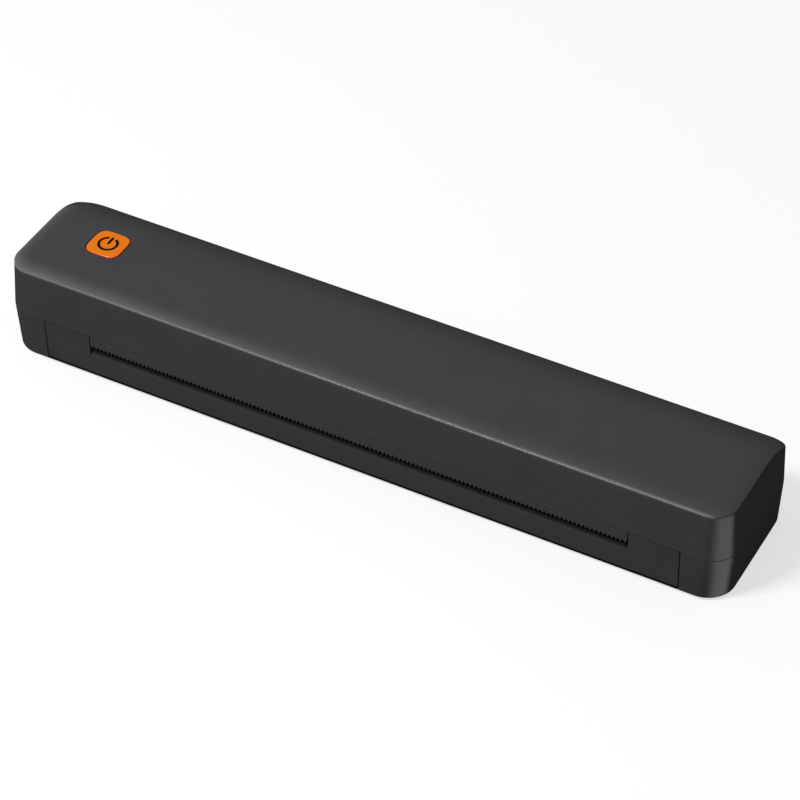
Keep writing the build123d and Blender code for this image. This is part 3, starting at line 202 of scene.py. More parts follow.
def new_group(name, kind, inputs, outputs):
    """Node group; returns the tree, and its inputs and outputs as sockets to link."""
    tree = bpy.data.node_groups.new(name, kind)
    for socket, socket_type, default in inputs:
        item = tree.interface.new_socket(socket, in_out="INPUT", socket_type=socket_type)
        if default is not None:
            item.default_value = default
    for socket, socket_type in outputs:
        tree.interface.new_socket(socket, in_out="OUTPUT", socket_type=socket_type)
    return tree, tree.nodes.new("NodeGroupInput").outputs, tree.nodes.new("NodeGroupOutput").inputs


def shader_group(name, inputs, outputs):
    return new_group(name, "ShaderNodeTree", [(n, "NodeSocketFloat", v) for n, v in inputs],
                     [(n, "NodeSocketFloat") for n in outputs])


def noise(tree, place, scale, detail=2.0, roughness=0.5):
    return add(tree, "ShaderNodeTexNoise", [("Vector", place), ("Scale", scale), ("Detail", detail),
                                            ("Roughness", roughness)]).outputs["Fac"]


def put_out(tree, out, **values):
    """Links values to a group's outputs by name."""
    for name, value in values.items():
        tree.links.new(value, out[name])
    return tree


def grain_group():
    """Spark-eroded grain of a moulding tool: fine pits, and broad cloudiness of the surface."""
    tree, given, out = shader_group("moulded grain", [
        ("Grain", 1500.0), ("Cloud", 45.0), ("Coarse Share", 0.3), ("Coarse Scale", 0.33)],
        ["Pits", "Cloud", "Height"])
    place = place_of(tree)
    pits = noise(tree, place, given["Grain"], 3.0, 0.6)
    broad = maths(tree, "MULTIPLY", given["Grain"], given["Coarse Scale"])
    coarse, share = noise(tree, place, broad, 1.0), given["Coarse Share"]
    height = maths(tree, "ADD", maths(tree, "MULTIPLY", pits, maths(tree, "SUBTRACT", 1.0, share)),
                   maths(tree, "MULTIPLY", coarse, share))
    return put_out(tree, out, Pits=pits, Cloud=noise(tree, place, given["Cloud"], 3.0), Height=height)


def brushed_group():
    """Fine lines drawn along X, with a slow change of tone across them."""
    tree, given, out = shader_group("drawn lines", [("Lines", 3000.0), ("Stretch", 0.02), ("Tone", 60.0)],
                                    ["Lines", "Tone", "Height"])
    x, y, z = axes_of(tree)
    drawn = vector(tree, maths(tree, "MULTIPLY", x, given["Stretch"]), y, z)
    lines = noise(tree, drawn, given["Lines"], 2.0, 0.7)
    return put_out(tree, out, Lines=lines, Tone=noise(tree, place_of(tree), given["Tone"]),
                   Height=lines)


# Degrees round the front left corner from the front to the left end: the painted highlight of the crisp line
# fades out, and the painted sheen of the soft roll sinks to that of the end.
LINE_FADES, ROLL_SINKS = (62, 86), (50, 88)
# Degrees round the front right corner: the painted highlight down the corner rises, is full, starts to fall
# and has gone.
CORNER_BAND = (15, 41, 54, 74)
# Nearness to the edge, 0 at the roll's reach to 1, over which the painted highlight of the crisp line sets
# in.
CRISP_BAND = (0.86, 0.94)
# Shares of a lip's depth over which painted shade darkens the rolled lip, and over which painted shade
# darkens the slot further.
LIP_BENDS, SLOT_DARKENS = (0.0, 0.32), (0.45, 1.0)
# Height above the start of the foot, in foot heights, over which its shade fades.
FOOT_FADES = (0.7, 1.0)


def shine_group():
    """Coat weight along the front and left edges of the top, and down a front corner: partly gloss that
    handling rubs into edges, partly a painted highlight, stronger towards the left end and on the right
    corner only.
    """
    tree, given, out = shader_group("handled edges", [
        ("Edge Y", -0.027), ("Edge Z", 0.04), ("End X", -0.144), ("Corner X", 0.135), ("Corner Y", -0.018),
        ("Reach", 0.009), ("Soft", 0.5), ("Roll Power", 2.5), ("End Share", 0.45), ("Right Shine", 0.45),
        ("Left Gain", 1.75), ("Left Power", 1.7), ("Corner Shine", 0.68)], ["Shine"])
    x, y, z = axes_of(tree)

    def calc(operation, *values):
        """Maths on numbers, sockets and the names of the group's inputs."""
        return maths(tree, operation, *[given[v] if isinstance(v, str) else v for v in values])

    across = calc("MAXIMUM", calc("SUBTRACT", calc("MULTIPLY", "Corner X", -1.0), x), 0.0)
    ahead = calc("MAXIMUM", calc("SUBTRACT", "Corner Y", y), 0.0)
    from_centre = calc("SQRT", calc("ADD", calc("MULTIPLY", across, across), calc("MULTIPLY", ahead, ahead)))
    inside = calc("SUBTRACT", calc("SUBTRACT", "Corner Y", "Edge Y"), from_centre)
    near = ranged(tree, inside, 0.0, given["Reach"], 1.0, 0.0)
    leftward = calc("ARCTAN2", across, ahead)
    above = ranged(tree, calc("SUBTRACT", z, "Edge Z"), -0.9 * MM, -0.1 * MM)
    crisp = calc("MULTIPLY", ranged(tree, near, *CRISP_BAND),
                 ranged(tree, leftward, *map(radians, LINE_FADES), 1.0, 0.0))
    # Painted highlight: the sheen grows towards the left end, where the lamp's highlight falls.
    along = calc("MULTIPLY_ADD", calc("DIVIDE", x, "End X"), 0.5, 0.5)
    fade = calc("MULTIPLY_ADD", calc("POWER", along, "Left Power"), "Left Gain", "Right Shine")
    rolled = calc("MULTIPLY", calc("POWER", near, "Roll Power"),
                  ranged(tree, leftward, *map(radians, ROLL_SINKS), 1.0, given["End Share"]))
    rolled = calc("MULTIPLY", calc("MULTIPLY", rolled, fade), "Soft")
    top = calc("MULTIPLY", calc("MAXIMUM", crisp, rolled), above)
    # Painted highlight down the front right corner only, below the crisp edge.
    turn = calc("ARCTAN2", calc("SUBTRACT", x, "Corner X"), calc("SUBTRACT", "Corner Y", y))
    below = calc("MULTIPLY", calc("SUBTRACT", 1.0, above), "Corner Shine")
    corner = calc("MULTIPLY", between(tree, turn, *map(radians, CORNER_BAND)), below)
    return put_out(tree, out, Shine=calc("MAXIMUM", top, corner))


def shade_group():
    """Painted shade: darkening of the edge next to the floor, and of a lip that rolls back into a slot."""
    tree, given, out = shader_group("shaded edges", [
        ("Under Z", 0.0), ("Foot Z", 0.001), ("Foot Height", 0.0006), ("Foot Shade", 0.12), ("Lip Y", 0.0),
        ("Lip Z", 1.0), ("Lip Depth", 0.0011), ("Lip Shade", 0.75), ("Slot Shade", 0.4)], ["Shade"])
    _, y, z = axes_of(tree)

    def beyond(value, start, run):
        return maths(tree, "DIVIDE", maths(tree, "SUBTRACT", value, given[start]), given[run])

    foot = ranged(tree, beyond(z, "Foot Z", "Foot Height"), *FOOT_FADES, given["Foot Shade"])
    foot = maths(tree, "MAXIMUM", foot, maths(tree, "LESS_THAN", z, given["Under Z"]))
    # Painted shade on the lip: darker as the lip rolls back, darkest into the slot.
    into = beyond(y, "Lip Y", "Lip Depth")
    bent = ranged(tree, into, *LIP_BENDS, 1.0, given["Lip Shade"], soft=True)
    deep = ranged(tree, into, *SLOT_DARKENS, 1.0, given["Slot Shade"], soft=True)
    lip = maths(tree, "MULTIPLY_ADD", maths(tree, "MULTIPLY_ADD", bent, deep, -1.0),
                maths(tree, "GREATER_THAN", z, given["Lip Z"]), 1.0)
    return put_out(tree, out, Shade=maths(tree, "MULTIPLY", foot, lip))


def group_in(tree, name, build, values):
    """A shared node group placed in a material with the material's own values."""
    group = add(tree, "ShaderNodeGroup", node_tree=bpy.data.node_groups.get(name) or build())
    for socket, value in values.items():
        group.inputs[socket].default_value = value
    return group


def spread_of(tree, value, low, high):
    """A 0 to 1 noise turned into a range, with its dull ends cut off."""
    return ranged(tree, value, 0.3, 0.7, low, high)


def tinted(tree, rgb, factor):
    """A colour made darker and lighter by a factor that varies."""
    grey = add(tree, "ShaderNodeCombineColor", [(0, factor), (1, factor), (2, factor)]).outputs[0]
    return mixed(tree, 1.0, rgb, grey, "MULTIPLY")


def surface(name, rgb, **fixed):
    """Material with a Principled shader; fixed values sit on its own sockets."""
    material = bpy.data.materials.new(name)
    material.use_nodes = True
    tree = material.node_tree
    shader = tree.nodes["Principled BSDF"]
    material.diffuse_color = (*rgb, 1.0)
    for key, value in fixed.items():
        shader.inputs[key.replace("_", " ")].default_value = value
    return material, tree, shader


def textured(parts, rgb, group, shade, rough, depth):
    """Links tone, roughness and relief from a texture group to the shader."""
    material, tree, shader = parts
    cause, spread = rough
    tree.links.new(tinted(tree, (*rgb, 1.0), shade), shader.inputs["Base Color"])
    tree.links.new(spread_of(tree, group.outputs[cause], *spread), shader.inputs["Roughness"])
    bump = add(tree, "ShaderNodeBump", [("Height", group.outputs["Height"]), ("Distance", depth * MM)])
    tree.links.new(bump.outputs[0], shader.inputs["Normal"])
    return material


def moulded(name, rgb, rough=(0.42, 0.56), grain=1500.0, depth=0.05, tone=(0.97, 1.04), speck=(0.93, 1.07),
            **fixed):
    """Moulded plastic or rubber with a grained surface; depth in millimetres."""
    parts = surface(name, rgb, **fixed)
    tree = parts[1]
    group = group_in(tree, "moulded grain", grain_group, {"Grain": grain})
    shade = maths(tree, "MULTIPLY", spread_of(tree, group.outputs["Cloud"], *tone),
                  spread_of(tree, group.outputs["Pits"], *speck))
    return textured(parts, rgb, group, shade, ("Cloud", rough), depth)


def metal(name, rgb, rough=(0.28, 0.42), lines=3000.0, depth=0.004, tone=(0.93, 1.05)):
    """Drawn, ground or plated metal with fine lines along X; depth in millimetres."""
    parts = surface(name, rgb, Metallic=1.0)
    tree = parts[1]
    group = group_in(tree, "drawn lines", brushed_group, {"Lines": lines})
    shade = maths(tree, "MULTIPLY", spread_of(tree, group.outputs["Tone"], *tone),
                  spread_of(tree, group.outputs["Lines"], 0.96, 1.03))
    return textured(parts, rgb, group, shade, ("Lines", rough), depth)


def case_plastic(name, rgb, shaded):
    """Soft matt plastic, rubbed glossy at its edges with a painted highlight there, and darkened by painted
    shade at its lower edge and along its lip.
    """
    material = moulded(name, rgb, (0.86, 0.96), Specular_IOR_Level=0.0, Coat_Roughness=0.3, Coat_IOR=1.8)
    tree = material.node_tree
    shader = tree.nodes["Principled BSDF"]
    size = bpy.context.scene.printer_case
    # Coat weight from the rubbed edges, with a painted highlight.
    shine = group_in(tree, "handled edges", shine_group, {
        "End X": -size.length / 2 + UPPER_DRAFT[0], "Edge Y": -size.depth / 2 + UPPER_DRAFT[1],
        "Edge Z": size.parting + size.edge_rise, "Reach": size.roll,
        "Corner X": size.length / 2 - PARTING_CORNERS[0], "Corner Y": -size.depth / 2 + PARTING_CORNERS[0]})
    tree.links.new(shine.outputs["Shine"], shader.inputs["Coat Weight"])
    # Painted shade multiplies the base colour: along the lower edge and into the paper slot.
    shade = group_in(tree, "shaded edges", shade_group, shaded)
    plain = shader.inputs["Base Color"].links[0].from_socket
    tree.links.new(tinted(tree, plain, shade.outputs["Shade"]), shader.inputs["Base Color"])
    return material


def button_plastic(name, rgb, deep):
    """Bright plastic of the button: glossy on its rounded edge, with painted shade giving a darker, redder
    colour down its flank.
    """
    material = moulded(name, rgb, rough=(0.5, 0.6), depth=0.012, tone=(0.97, 1.03), speck=(0.97, 1.03),
                       Specular_IOR_Level=0.08, Coat_Roughness=0.3)
    tree = material.node_tree
    shader = tree.nodes["Principled BSDF"]
    case, size = bpy.context.scene.printer_case, bpy.context.scene.printer_button
    under = maths(tree, "SUBTRACT", button_top(case, size), axes_of(tree)[2])
    # Painted shade: the flank takes the darker, redder colour.
    flank = ranged(tree, under, 0.3 * size.edge, 0.8 * size.edge)
    face = shader.inputs["Base Color"].links[0].from_socket
    tree.links.new(mixed(tree, flank, face, (*deep, 1.0)), shader.inputs["Base Color"])
    rim = between(tree, under, *[share * size.edge for share in (0.02, 0.1, 0.25, 0.5)])
    tree.links.new(rim, shader.inputs["Coat Weight"])
    return material


def edge_shade(low, rise):
    """Values for painted shade that darkens a shell's edge up to a rise above its flat underside, and spares
    the underside.
    """
    return {"Under Z": low + 0.02 * MM, "Foot Z": low + rise}


def case_finish(hue):
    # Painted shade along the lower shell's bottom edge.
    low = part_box("base_shell")[0][2]
    return case_plastic("case plastic", hue.case[:], edge_shade(low, BASE_EDGE))


def cover_finish(hue):
    """The front cover's lip rolls back into the paper slot and its lower edge rolls under; painted shade
    darkens both.
    """
    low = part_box("front_cover")[0][2]
    lip = {"Lip Y": front_at(bpy.context.scene.printer_case, LIP_TOP), "Lip Z": LIP_TOP - LIP_ROLL}
    return case_plastic("cover plastic", hue.cover[:], edge_shade(low, LOWER_ROLL) | lip)


# Finishes that follow the panel's colours.
TINTED = {
    "case": case_finish, "cover": cover_finish,
    "button": lambda hue: button_plastic("button plastic", hue.button[:], hue.button_flank_shade[:]),
    "mark": lambda hue: moulded("mark ink", hue.mark[:], (0.6, 0.7), depth=0.01, Specular_IOR_Level=0.03),
    "tear": lambda hue: moulded("tear bar coat", hue.tear[:], (0.8, 0.9), 2400.0, 0.015,
                                Specular_IOR_Level=0.05),
    "rubber": lambda hue: moulded("foot rubber", hue.rubber[:], (0.7, 0.85), 900.0, 0.05),
    "platen": lambda hue: moulded("platen silicone", hue.platen[:], (0.55, 0.65), 2600.0, 0.02),
}
# Colour, range of roughness, grain or lines per metre, and depth of the relief in millimetres.
PLASTICS = {
    "white acetal": ((0.70, 0.68, 0.62), (0.32, 0.4), 1500.0, 0.01),
    "black acetal": ((0.012, 0.012, 0.012), (0.3, 0.38), 1500.0, 0.01),
    "guide plastic": ((0.018, 0.018, 0.018), (0.4, 0.55), 1500.0, 0.03),
    "chip resin": ((0.010, 0.010, 0.011), (0.45, 0.6), 4000.0, 0.02),
    "solder mask": ((0.006, 0.075, 0.022), (0.2, 0.3), 700.0, 0.01, (0.85, 1.15)),
    "glazed ceramic": ((0.62, 0.60, 0.54), (0.12, 0.22), 1500.0, 0.006),
    "cell wrap": ((0.24, 0.25, 0.27), (0.25, 0.4), 220.0, 0.06),
    "light pipe": ((0.72, 0.75, 0.74), (0.08, 0.16), 1500.0, 0.004),
}
METALS = {
    "plated sheet": ((0.34, 0.34, 0.35), (0.36, 0.5)),
    "ground steel": ((0.56, 0.56, 0.57), (0.16, 0.26), 5000.0),
    "blackened screw": ((0.055, 0.055, 0.058), (0.3, 0.42)),
    "nickel plate": ((0.60, 0.58, 0.54), (0.12, 0.2)),
    "extruded aluminium": ((0.58, 0.59, 0.60), (0.3, 0.45), 1800.0),
    "machined brass": ((0.62, 0.42, 0.13), (0.2, 0.32)),
    "motor can": ((0.42, 0.42, 0.44), (0.25, 0.38)),
    "stamped socket": ((0.50, 0.50, 0.51), (0.22, 0.34)),
    "spring strip": ((0.40, 0.40, 0.41), (0.22, 0.32)),
}
# Uniform values of single plastics.
FIXED = {"cell wrap": {"Metallic": 0.6}, "light pipe": {"Transmission_Weight": 0.7}}


def finish_of(name):
    """The material of a finish, built the first time it is asked for."""
    scene = bpy.context.scene
    stored = dict(scene.get("printer_finishes", {}))
    if name not in stored:
        if name in TINTED:
            material = TINTED[name](scene.printer_colours)
        elif name in METALS:
            material = metal(name, *METALS[name])
        else:
            material = moulded(name, *PLASTICS[name], **FIXED.get(name, {}))
        scene["printer_finishes"] = {**stored, name: material.name}
        return material
    return bpy.data.materials[stored[name]]


# ---------------- mesh helpers
def placed(name, data):
    """New object in the scene."""
    thing = bpy.data.objects.new(name, data)
    bpy.context.scene.collection.objects.link(thing)
    return thing


def new_object(name, mesh, finish):
    piece = placed(name, mesh)
    mesh.materials.clear()
    mesh.materials.append(finish_of(finish))
    return piece


def mesh_from(name, points, faces):
    mesh = bpy.data.meshes.new(name)
    mesh.from_pydata(points, [], faces)
    mesh.validate()
    return mesh


def smooth(mesh, angle=35.0):
    """Smooth shading that breaks at sharp edges."""
    mesh.shade_smooth()
    mesh.set_sharp_from_angle(angle=radians(angle))


def settle(piece):
    """Turns the modified shape into the piece's plain mesh and takes the modifiers off."""
    graph = bpy.context.evaluated_depsgraph_get()
    graph.update()
    mesh = bpy.data.meshes.new_from_object(piece.evaluated_get(graph))
    piece.modifiers.clear()
    piece.data = mesh
    return piece


def bevelled(piece, width, limit=40.0, segments=2):
    """Rounds the sharp edges of a piece."""
    set_up(piece.modifiers.new("edges", "BEVEL"), width=width, segments=segments, limit_method="ANGLE",
           angle_limit=radians(limit), harden_normals=True, use_clamp_overlap=True)
    return piece


def cut(piece, cutters):
    """Takes closed cutter meshes out of a piece."""
    helpers = [placed("cutter", mesh) for mesh in cutters]
    for helper in helpers:
        set_up(piece.modifiers.new("cut", "BOOLEAN"), operation="DIFFERENCE", solver="EXACT", object=helper)
    settle(piece)
    for helper in helpers:
        bpy.data.objects.remove(helper)
    return piece


def dressed(node, name, finish, width, limit=30.0, flat=0.6):
    """A rounded, smooth-shaded piece in the shape of a CAD node, which it replaces."""
    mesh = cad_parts[node].data.copy()
    work = bmesh.new()
    work.from_mesh(mesh)
    bmesh.ops.remove_doubles(work, verts=work.verts, dist=0.002 * MM)
    bmesh.ops.dissolve_limit(work, angle_limit=radians(flat), verts=work.verts, edges=work.edges)
    work.to_mesh(mesh)
    work.free()
    mesh.name = name
    smooth(mesh, limit)
    piece = new_object(name, mesh, finish)
    bevelled(piece, width, limit)
    return settle(piece)


def bands(ring, rings):
    """Faces between closed rings that follow each other in a list of points."""
    return [[j * ring + k, j * ring + (k + 1) % ring, (j + 1) * ring + (k + 1) % ring, (j + 1) * ring + k]
            for j in range(rings - 1) for k in range(ring)]


def prism(points, z0, z1):
    """Closed upright prism over a plan given anticlockwise."""
    count = len(points)
    both = [(x, y, z) for z in (z0, z1) for x, y in points]
    ends = [list(range(count))[::-1], list(range(count, 2 * count))]
    return mesh_from("prism", both, bands(count, 2) + ends)


def bar_along_x(section, x0, x1, y=0.0, z=0.0):
    """Closed bar along X over a section of (y, z) points given anticlockwise."""
    mesh = prism(section, x0, x1)
    mesh.transform(Matrix(((0, 0, 1, 0), (1, 0, 0, y), (0, 1, 0, z), (0, 0, 0, 1))))
    return mesh


# ---------------- case form
# Lean of the upper shell's ends, front and back from the parting line to the crisp edge.
UPPER_DRAFT = (1.7 * MM, 0.95 * MM, 1.1 * MM)
# Plan radii of the front and back corners, at the parting line and at the crisp edge.
PARTING_CORNERS = (10.6 * MM, 10.0 * MM)
TOP_CORNERS = (8.7 * MM, 6.4 * MM)
# Lean of the lower shell's front from the parting line down, over its height.
LOWER_DRAFT, LOWER_HEIGHT = 0.8 * MM, 19.0 * MM
# Front cover: top of its lip, the roll of the lip and the roll of its lower edge.
LIP_TOP, LIP_ROLL, LOWER_ROLL = 12.6 * MM, 2.8 * MM, 1.1 * MM
# Lower shell: height of its rounded lower edge.
BASE_EDGE = 0.45 * MM
# Shares of the end wall's depth at which the skin has a row, closer towards the falling back.
END_ROWS = (0.12, 0.27, 0.44, 0.6, 0.68, 0.76, 0.83, 0.89, 0.95)


def mix(a, b, t):
    return a + (b - a) * t


def draft_at(size, z):
    """Insets (ends, front, back) and plan corner radii (front, back) of the upper shell at a height."""
    t = (z - size.parting) / size.edge_rise
    return [d * t for d in UPPER_DRAFT], [mix(a, b, t) for a, b in zip(PARTING_CORNERS, TOP_CORNERS)]


def top_of(size):
    """Height of the flat of the top."""
    return size.parting + size.edge_rise + size.crown


def button_top(case, button):
    return top_of(case) + button.proud


def front_at(size, z):
    """Y of the case's front wall at a height, above or below the parting line."""
    if z >= size.parting:
        return -size.depth / 2 + draft_at(size, z)[0][1]
    return -size.depth / 2 + LOWER_DRAFT * (size.parting - z) / LOWER_HEIGHT


def crown_height(size, x, y):
    """Top skin: flat, rolled along the front and the ends, falling away to the back."""
    ends, front, back = UPPER_DRAFT
    reach_x = max(0.0, abs(x) - (size.length / 2 - ends - size.roll)) / size.roll
    reach_y = max(0.0, -size.depth / 2 + front + size.roll - y) / size.roll
    fall = max(0.0, y - size.back_start) / (size.depth / 2 - back - size.back_start)
    rolled = size.crown * hypot(reach_x, reach_y) ** size.roll_power
    return top_of(size) - rolled - size.back_drop * fall ** 2


def row_ends():
    """Right-hand ends of the rows, front to back: on the front corner, the end wall and the back corner."""
    corner = 10
    quarter = [pi / 2 * i / corner for i in range(corner + 1)]
    return [("front", a - pi / 2) for a in quarter] + [("end", t) for t in END_ROWS] + [
        ("back", a) for a in quarter]


def row_end(size, row, z):
    """Plan point of a row's right-hand end on the wall at a height."""
    (ends, front, back), (front_radius, back_radius) = draft_at(size, z)
    x1 = size.length / 2 - ends
    front_y = -size.depth / 2 + front + front_radius
    back_y = size.depth / 2 - back - back_radius
    kind, t = row
    if kind == "end":
        return x1, mix(front_y, back_y, t)
    radius, y = (front_radius, front_y) if kind == "front" else (back_radius, back_y)
    return x1 - radius + radius * cos(t), y + radius * sin(t)


def columns():
    """Shares of a row's half length: sparse over the flat, dense over the rolled ends."""
    flat, sparse, dense = 0.92, 14, 9
    half = [i / sparse * flat for i in range(sparse)] + [mix(flat, 1.0, i / dense) for i in range(dense + 1)]
    return [-s for s in reversed(half)] + half[1:]


def edge_height(size, row, share):
    """Height at which the wall meets the top skin."""
    z = size.parting + size.edge_rise
    for _ in range(12):
        x, y = row_end(size, row, z)
        z = crown_height(size, share * x, y)
    return z


def case_skin(size):
    """Open outer skin of the upper shell: the crowned top and the drafted wall down to the parting line."""
    rows, shares = row_ends(), columns()
    points, index = [], {}
    last = len(rows) - 1
    for j, row in enumerate(rows):
        end_z = edge_height(size, row, 1.0)
        for i, share in enumerate(shares):
            z = edge_height(size, row, share) if j in (0, last) else end_z
            x, y = row_end(size, row, z)
            index[i, j] = len(points)
            points.append((share * x, y, crown_height(size, share * x, y)))
    wide = len(shares) - 1
    faces = [[index[i, j], index[i + 1, j], index[i + 1, j + 1], index[i, j + 1]]
             for j in range(last) for i in range(wide)]
    loop = [(i, 0) for i in range(wide)] + [(wide, j) for j in range(last)]
    loop += [(i, last) for i in range(wide, 0, -1)] + [(0, j) for j in range(last, 0, -1)]
    above = [index[k] for k in loop]
    levels = 5
    for level in range(1, levels + 1):
        below = []
        for i, j in loop:
            z = mix(points[index[i, j]][2], size.parting + size.seam_gap, level / levels)
            x, y = row_end(size, rows[j], z)
            below.append(len(points))
            points.append((shares[i] * x, y, z))
        faces += [[above[k], below[k], below[(k + 1) % len(loop)], above[(k + 1) % len(loop)]]
                  for k in range(len(loop))]
        above = below
    return points, faces, [index[k] for k in loop]


def squircle(size, across, steps=18):
    """Plan of the button: a square with bulging sides and soft corners."""
    squareness = 3.8

    def bulge(part):
        return across / 2 * abs(part) ** (2 / squareness) * (1 if part >= 0 else -1)

    angles = [2 * pi * k / (4 * steps) for k in range(4 * steps)]
    return [(size.x + bulge(cos(a)), size.y + bulge(sin(a))) for a in angles]


def slot_prism(width, height, x0, x1, y, z, steps=10):
    """Round-ended bar along X."""
    radius, run = height / 2, (width - height) / 2
    section = []
    for centre, start in ((run, -pi / 2), (-run, pi / 2)):
        angles = [pi * k / steps + start for k in range(steps + 1)]
        section += [(centre + radius * cos(a), radius * sin(a)) for a in angles]
    return bar_along_x(section, x0, x1, y, z)


# ---------------- operators
class PrinterStep(bpy.types.Operator):
    """One step of dressing the printer"""
    bl_options = {"REGISTER", "UNDO"}


class PRINTER_OT_case_top(PrinterStep):
    """Upper shell with its crowned top, drafted wall and the holes for the button, socket and light"""
    bl_idname = "printer.case_top"
    bl_label = "Upper shell"

    def execute(self, context):
        size, button = context.scene.printer_case, context.scene.printer_button
        points, faces, rim = case_skin(size)
        mesh = mesh_from("case_top", points, faces)
        around = set(rim)
        weights = mesh.attributes.new("bevel_weight_edge", "FLOAT", "EDGE")
        for edge in mesh.edges:
            weights.data[edge.index].value = float(edge.vertices[0] in around and edge.vertices[1] in around)
        piece = new_object("case_top", mesh, "case")
        spread = 1.5  # bevel's width per unit of its radius
        set_up(piece.modifiers.new("crisp edge", "BEVEL"), limit_method="WEIGHT",
               width=size.edge_radius * spread, segments=4)
        set_up(piece.modifiers.new("wall", "SOLIDIFY"), thickness=size.wall, offset=-1.0,
               use_even_offset=True)
        settle(piece)
        top = top_of(size)
        usb_low, usb_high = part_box("usb_socket")
        play, light_width, light_height, light_y = 0.2 * MM, 2.05 * MM, 2.04 * MM, 8.5 * MM
        usb_width, usb_height = usb_high[1] - usb_low[1] + play, usb_high[2] - usb_low[2] + play
        usb_z = (usb_low[2] + usb_high[2]) / 2
        through = (-size.length / 2 - MM, -size.length / 2 + 6 * MM)
        cut(piece, [
            prism(squircle(button, button.size + 2 * button.gap), top - 6 * MM, top + 4 * MM),
            slot_prism(usb_width, usb_height, *through, 0.0, usb_z),
            slot_prism(light_width, light_height, *through, light_y, usb_z)])
        smooth(piece.data, 40.0)
        bevelled(piece, size.seam_radius, limit=55.0)
        settle(piece)
        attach(piece, "base")
        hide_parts("upper_shell")
        return {"FINISHED"}


class PRINTER_OT_case_base(PrinterStep):
    """Lower shell with its paper slot, screw wells and foot recesses"""
    bl_idname = "printer.case_base"
    bl_label = "Lower shell"

    def execute(self, context):
        piece = dressed("base_shell", "case_base", "case", context.scene.printer_case.seam_radius)
        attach(piece, "base")
        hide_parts("base_shell")
        return {"FINISHED"}


class PRINTER_OT_front_cover(PrinterStep):
    """Hinged front cover with its rolled lip and lower edge"""
    bl_idname = "printer.front_cover"
    bl_label = "Front cover"

    def execute(self, context):
        piece = dressed("front_cover", "cover_panel", "cover", context.scene.printer_case.seam_radius)
        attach(piece, "cover")
        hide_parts("front_cover")
        return {"FINISHED"}


def painted(tree, out, geometry, finish):
    """Real geometry with its finish at a tree's output."""
    real = add(tree, "GeometryNodeRealizeInstances", [("Geometry", geometry)])
    done = add(tree, "GeometryNodeSetMaterial", [("Geometry", real.outputs[0]), ("Material", finish)])
    tree.links.new(done.outputs[0], out[0])
    return tree


def geometry_group(name, inputs):
    """Geometry nodes group with its geometry and finish, and the named inputs between them."""
    sockets = [("Geometry", "NodeSocketGeometry", None), *inputs, ("Finish", "NodeSocketMaterial", None)]
    return new_group(name, "GeometryNodeTree", sockets, [("Geometry", "NodeSocketGeometry")])


def serration_tree():
    """Geometry nodes that set a row of wedge teeth along X under the bar that they modify."""
    tree, given, out = geometry_group("serration", [
        ("Tooth", "NodeSocketObject", None), ("Count", "NodeSocketInt", 10),
        *[(name, "NodeSocketFloat", 0.0) for name in ("Half Length", "Y", "Z")]])
    half = given["Half Length"]
    pitch = maths(tree, "DIVIDE", maths(tree, "MULTIPLY", half, 2.0), given["Count"])
    start = maths(tree, "SUBTRACT", maths(tree, "MULTIPLY", pitch, 0.5), half)
    line = add(tree, "GeometryNodeMeshLine", [
        ("Count", given["Count"]),
        ("Start Location", vector(tree, start, given["Y"], given["Z"])),
        ("Offset", vector(tree, pitch))])
    tooth = add(tree, "GeometryNodeObjectInfo", [("Object", given["Tooth"])])
    teeth = add(tree, "GeometryNodeInstanceOnPoints", [
        ("Points", line.outputs[0]), ("Instance", tooth.outputs["Geometry"])])
    joined = add(tree, "GeometryNodeJoinGeometry", [(0, teeth.outputs[0]), (0, given["Geometry"])])
    return painted(tree, out, joined.outputs[0], given["Finish"])


def run_nodes(piece, tree, values):
    """Adds a geometry nodes modifier, sets its inputs by their identifiers and keeps the result as a mesh."""
    modifier = piece.modifiers.new(tree.name, "NODES")
    modifier.node_group = tree
    identifiers = {item.name: item.identifier for item in tree.interface.items_tree
                   if item.item_type == "SOCKET" and item.in_out == "INPUT"}
    for name, value in values.items():
        modifier[identifiers[name]] = value
    return settle(piece)


class PRINTER_OT_tear_bar(PrinterStep):
    """Folded tear bar with its row of teeth"""
    bl_idname = "printer.tear_bar"
    bl_label = "Tear bar"

    def execute(self, context):
        size, tear = context.scene.printer_case, context.scene.printer_tear
        root = tear.tip + tear.tooth
        top = size.parting - tear.seam
        step = top - tear.thickness
        flange = size.parting + tear.flange
        back = tear.tip_thickness + (tear.thickness - tear.tip_thickness) * tear.tooth / (step - tear.tip)
        section = [(front_at(size, level) + inward, z) for level, inward, z in (
            (root, 0.0, root), (top, 0.0, top), (size.parting, size.wall, top), (flange, size.wall, flange),
            (flange, size.wall + tear.thickness, flange), (size.parting, size.wall + tear.thickness, step),
            (step, tear.thickness, step), (root, back, root))]
        mesh = bar_along_x(section, -tear.half, tear.half)
        smooth(mesh, 30.0)
        piece = new_object("tear_blade", mesh, "tear")
        rounding, half_tip, sunk = 0.12 * MM, 0.06 * MM, 0.02 * MM
        bevelled(piece, rounding, limit=30.0)
        settle(piece)
        half_pitch = tear.half / tear.teeth
        lean = front_at(size, tear.tip) - front_at(size, root)
        corners = ((-1, 0), (1, 0), (1, 1), (-1, 1))
        tooth = mesh_from("tooth", [(x * half_pitch, y * back, 0) for x, y in corners] + [
            (x * half_tip, lean + y * tear.tip_thickness, -tear.tooth) for x, y in corners],
            [[3, 2, 1, 0], [4, 5, 6, 7], *bands(4, 2)])
        model = new_object("tooth_model", tooth, "tear")
        run_nodes(piece, serration_tree(), {
            "Tooth": model, "Count": tear.teeth, "Half Length": tear.half, "Y": front_at(size, root),
            "Z": root + sunk, "Finish": finish_of("tear")})
        bpy.data.objects.remove(model)
        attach(piece, "base")
        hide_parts("tear_bar")
        return {"FINISHED"}


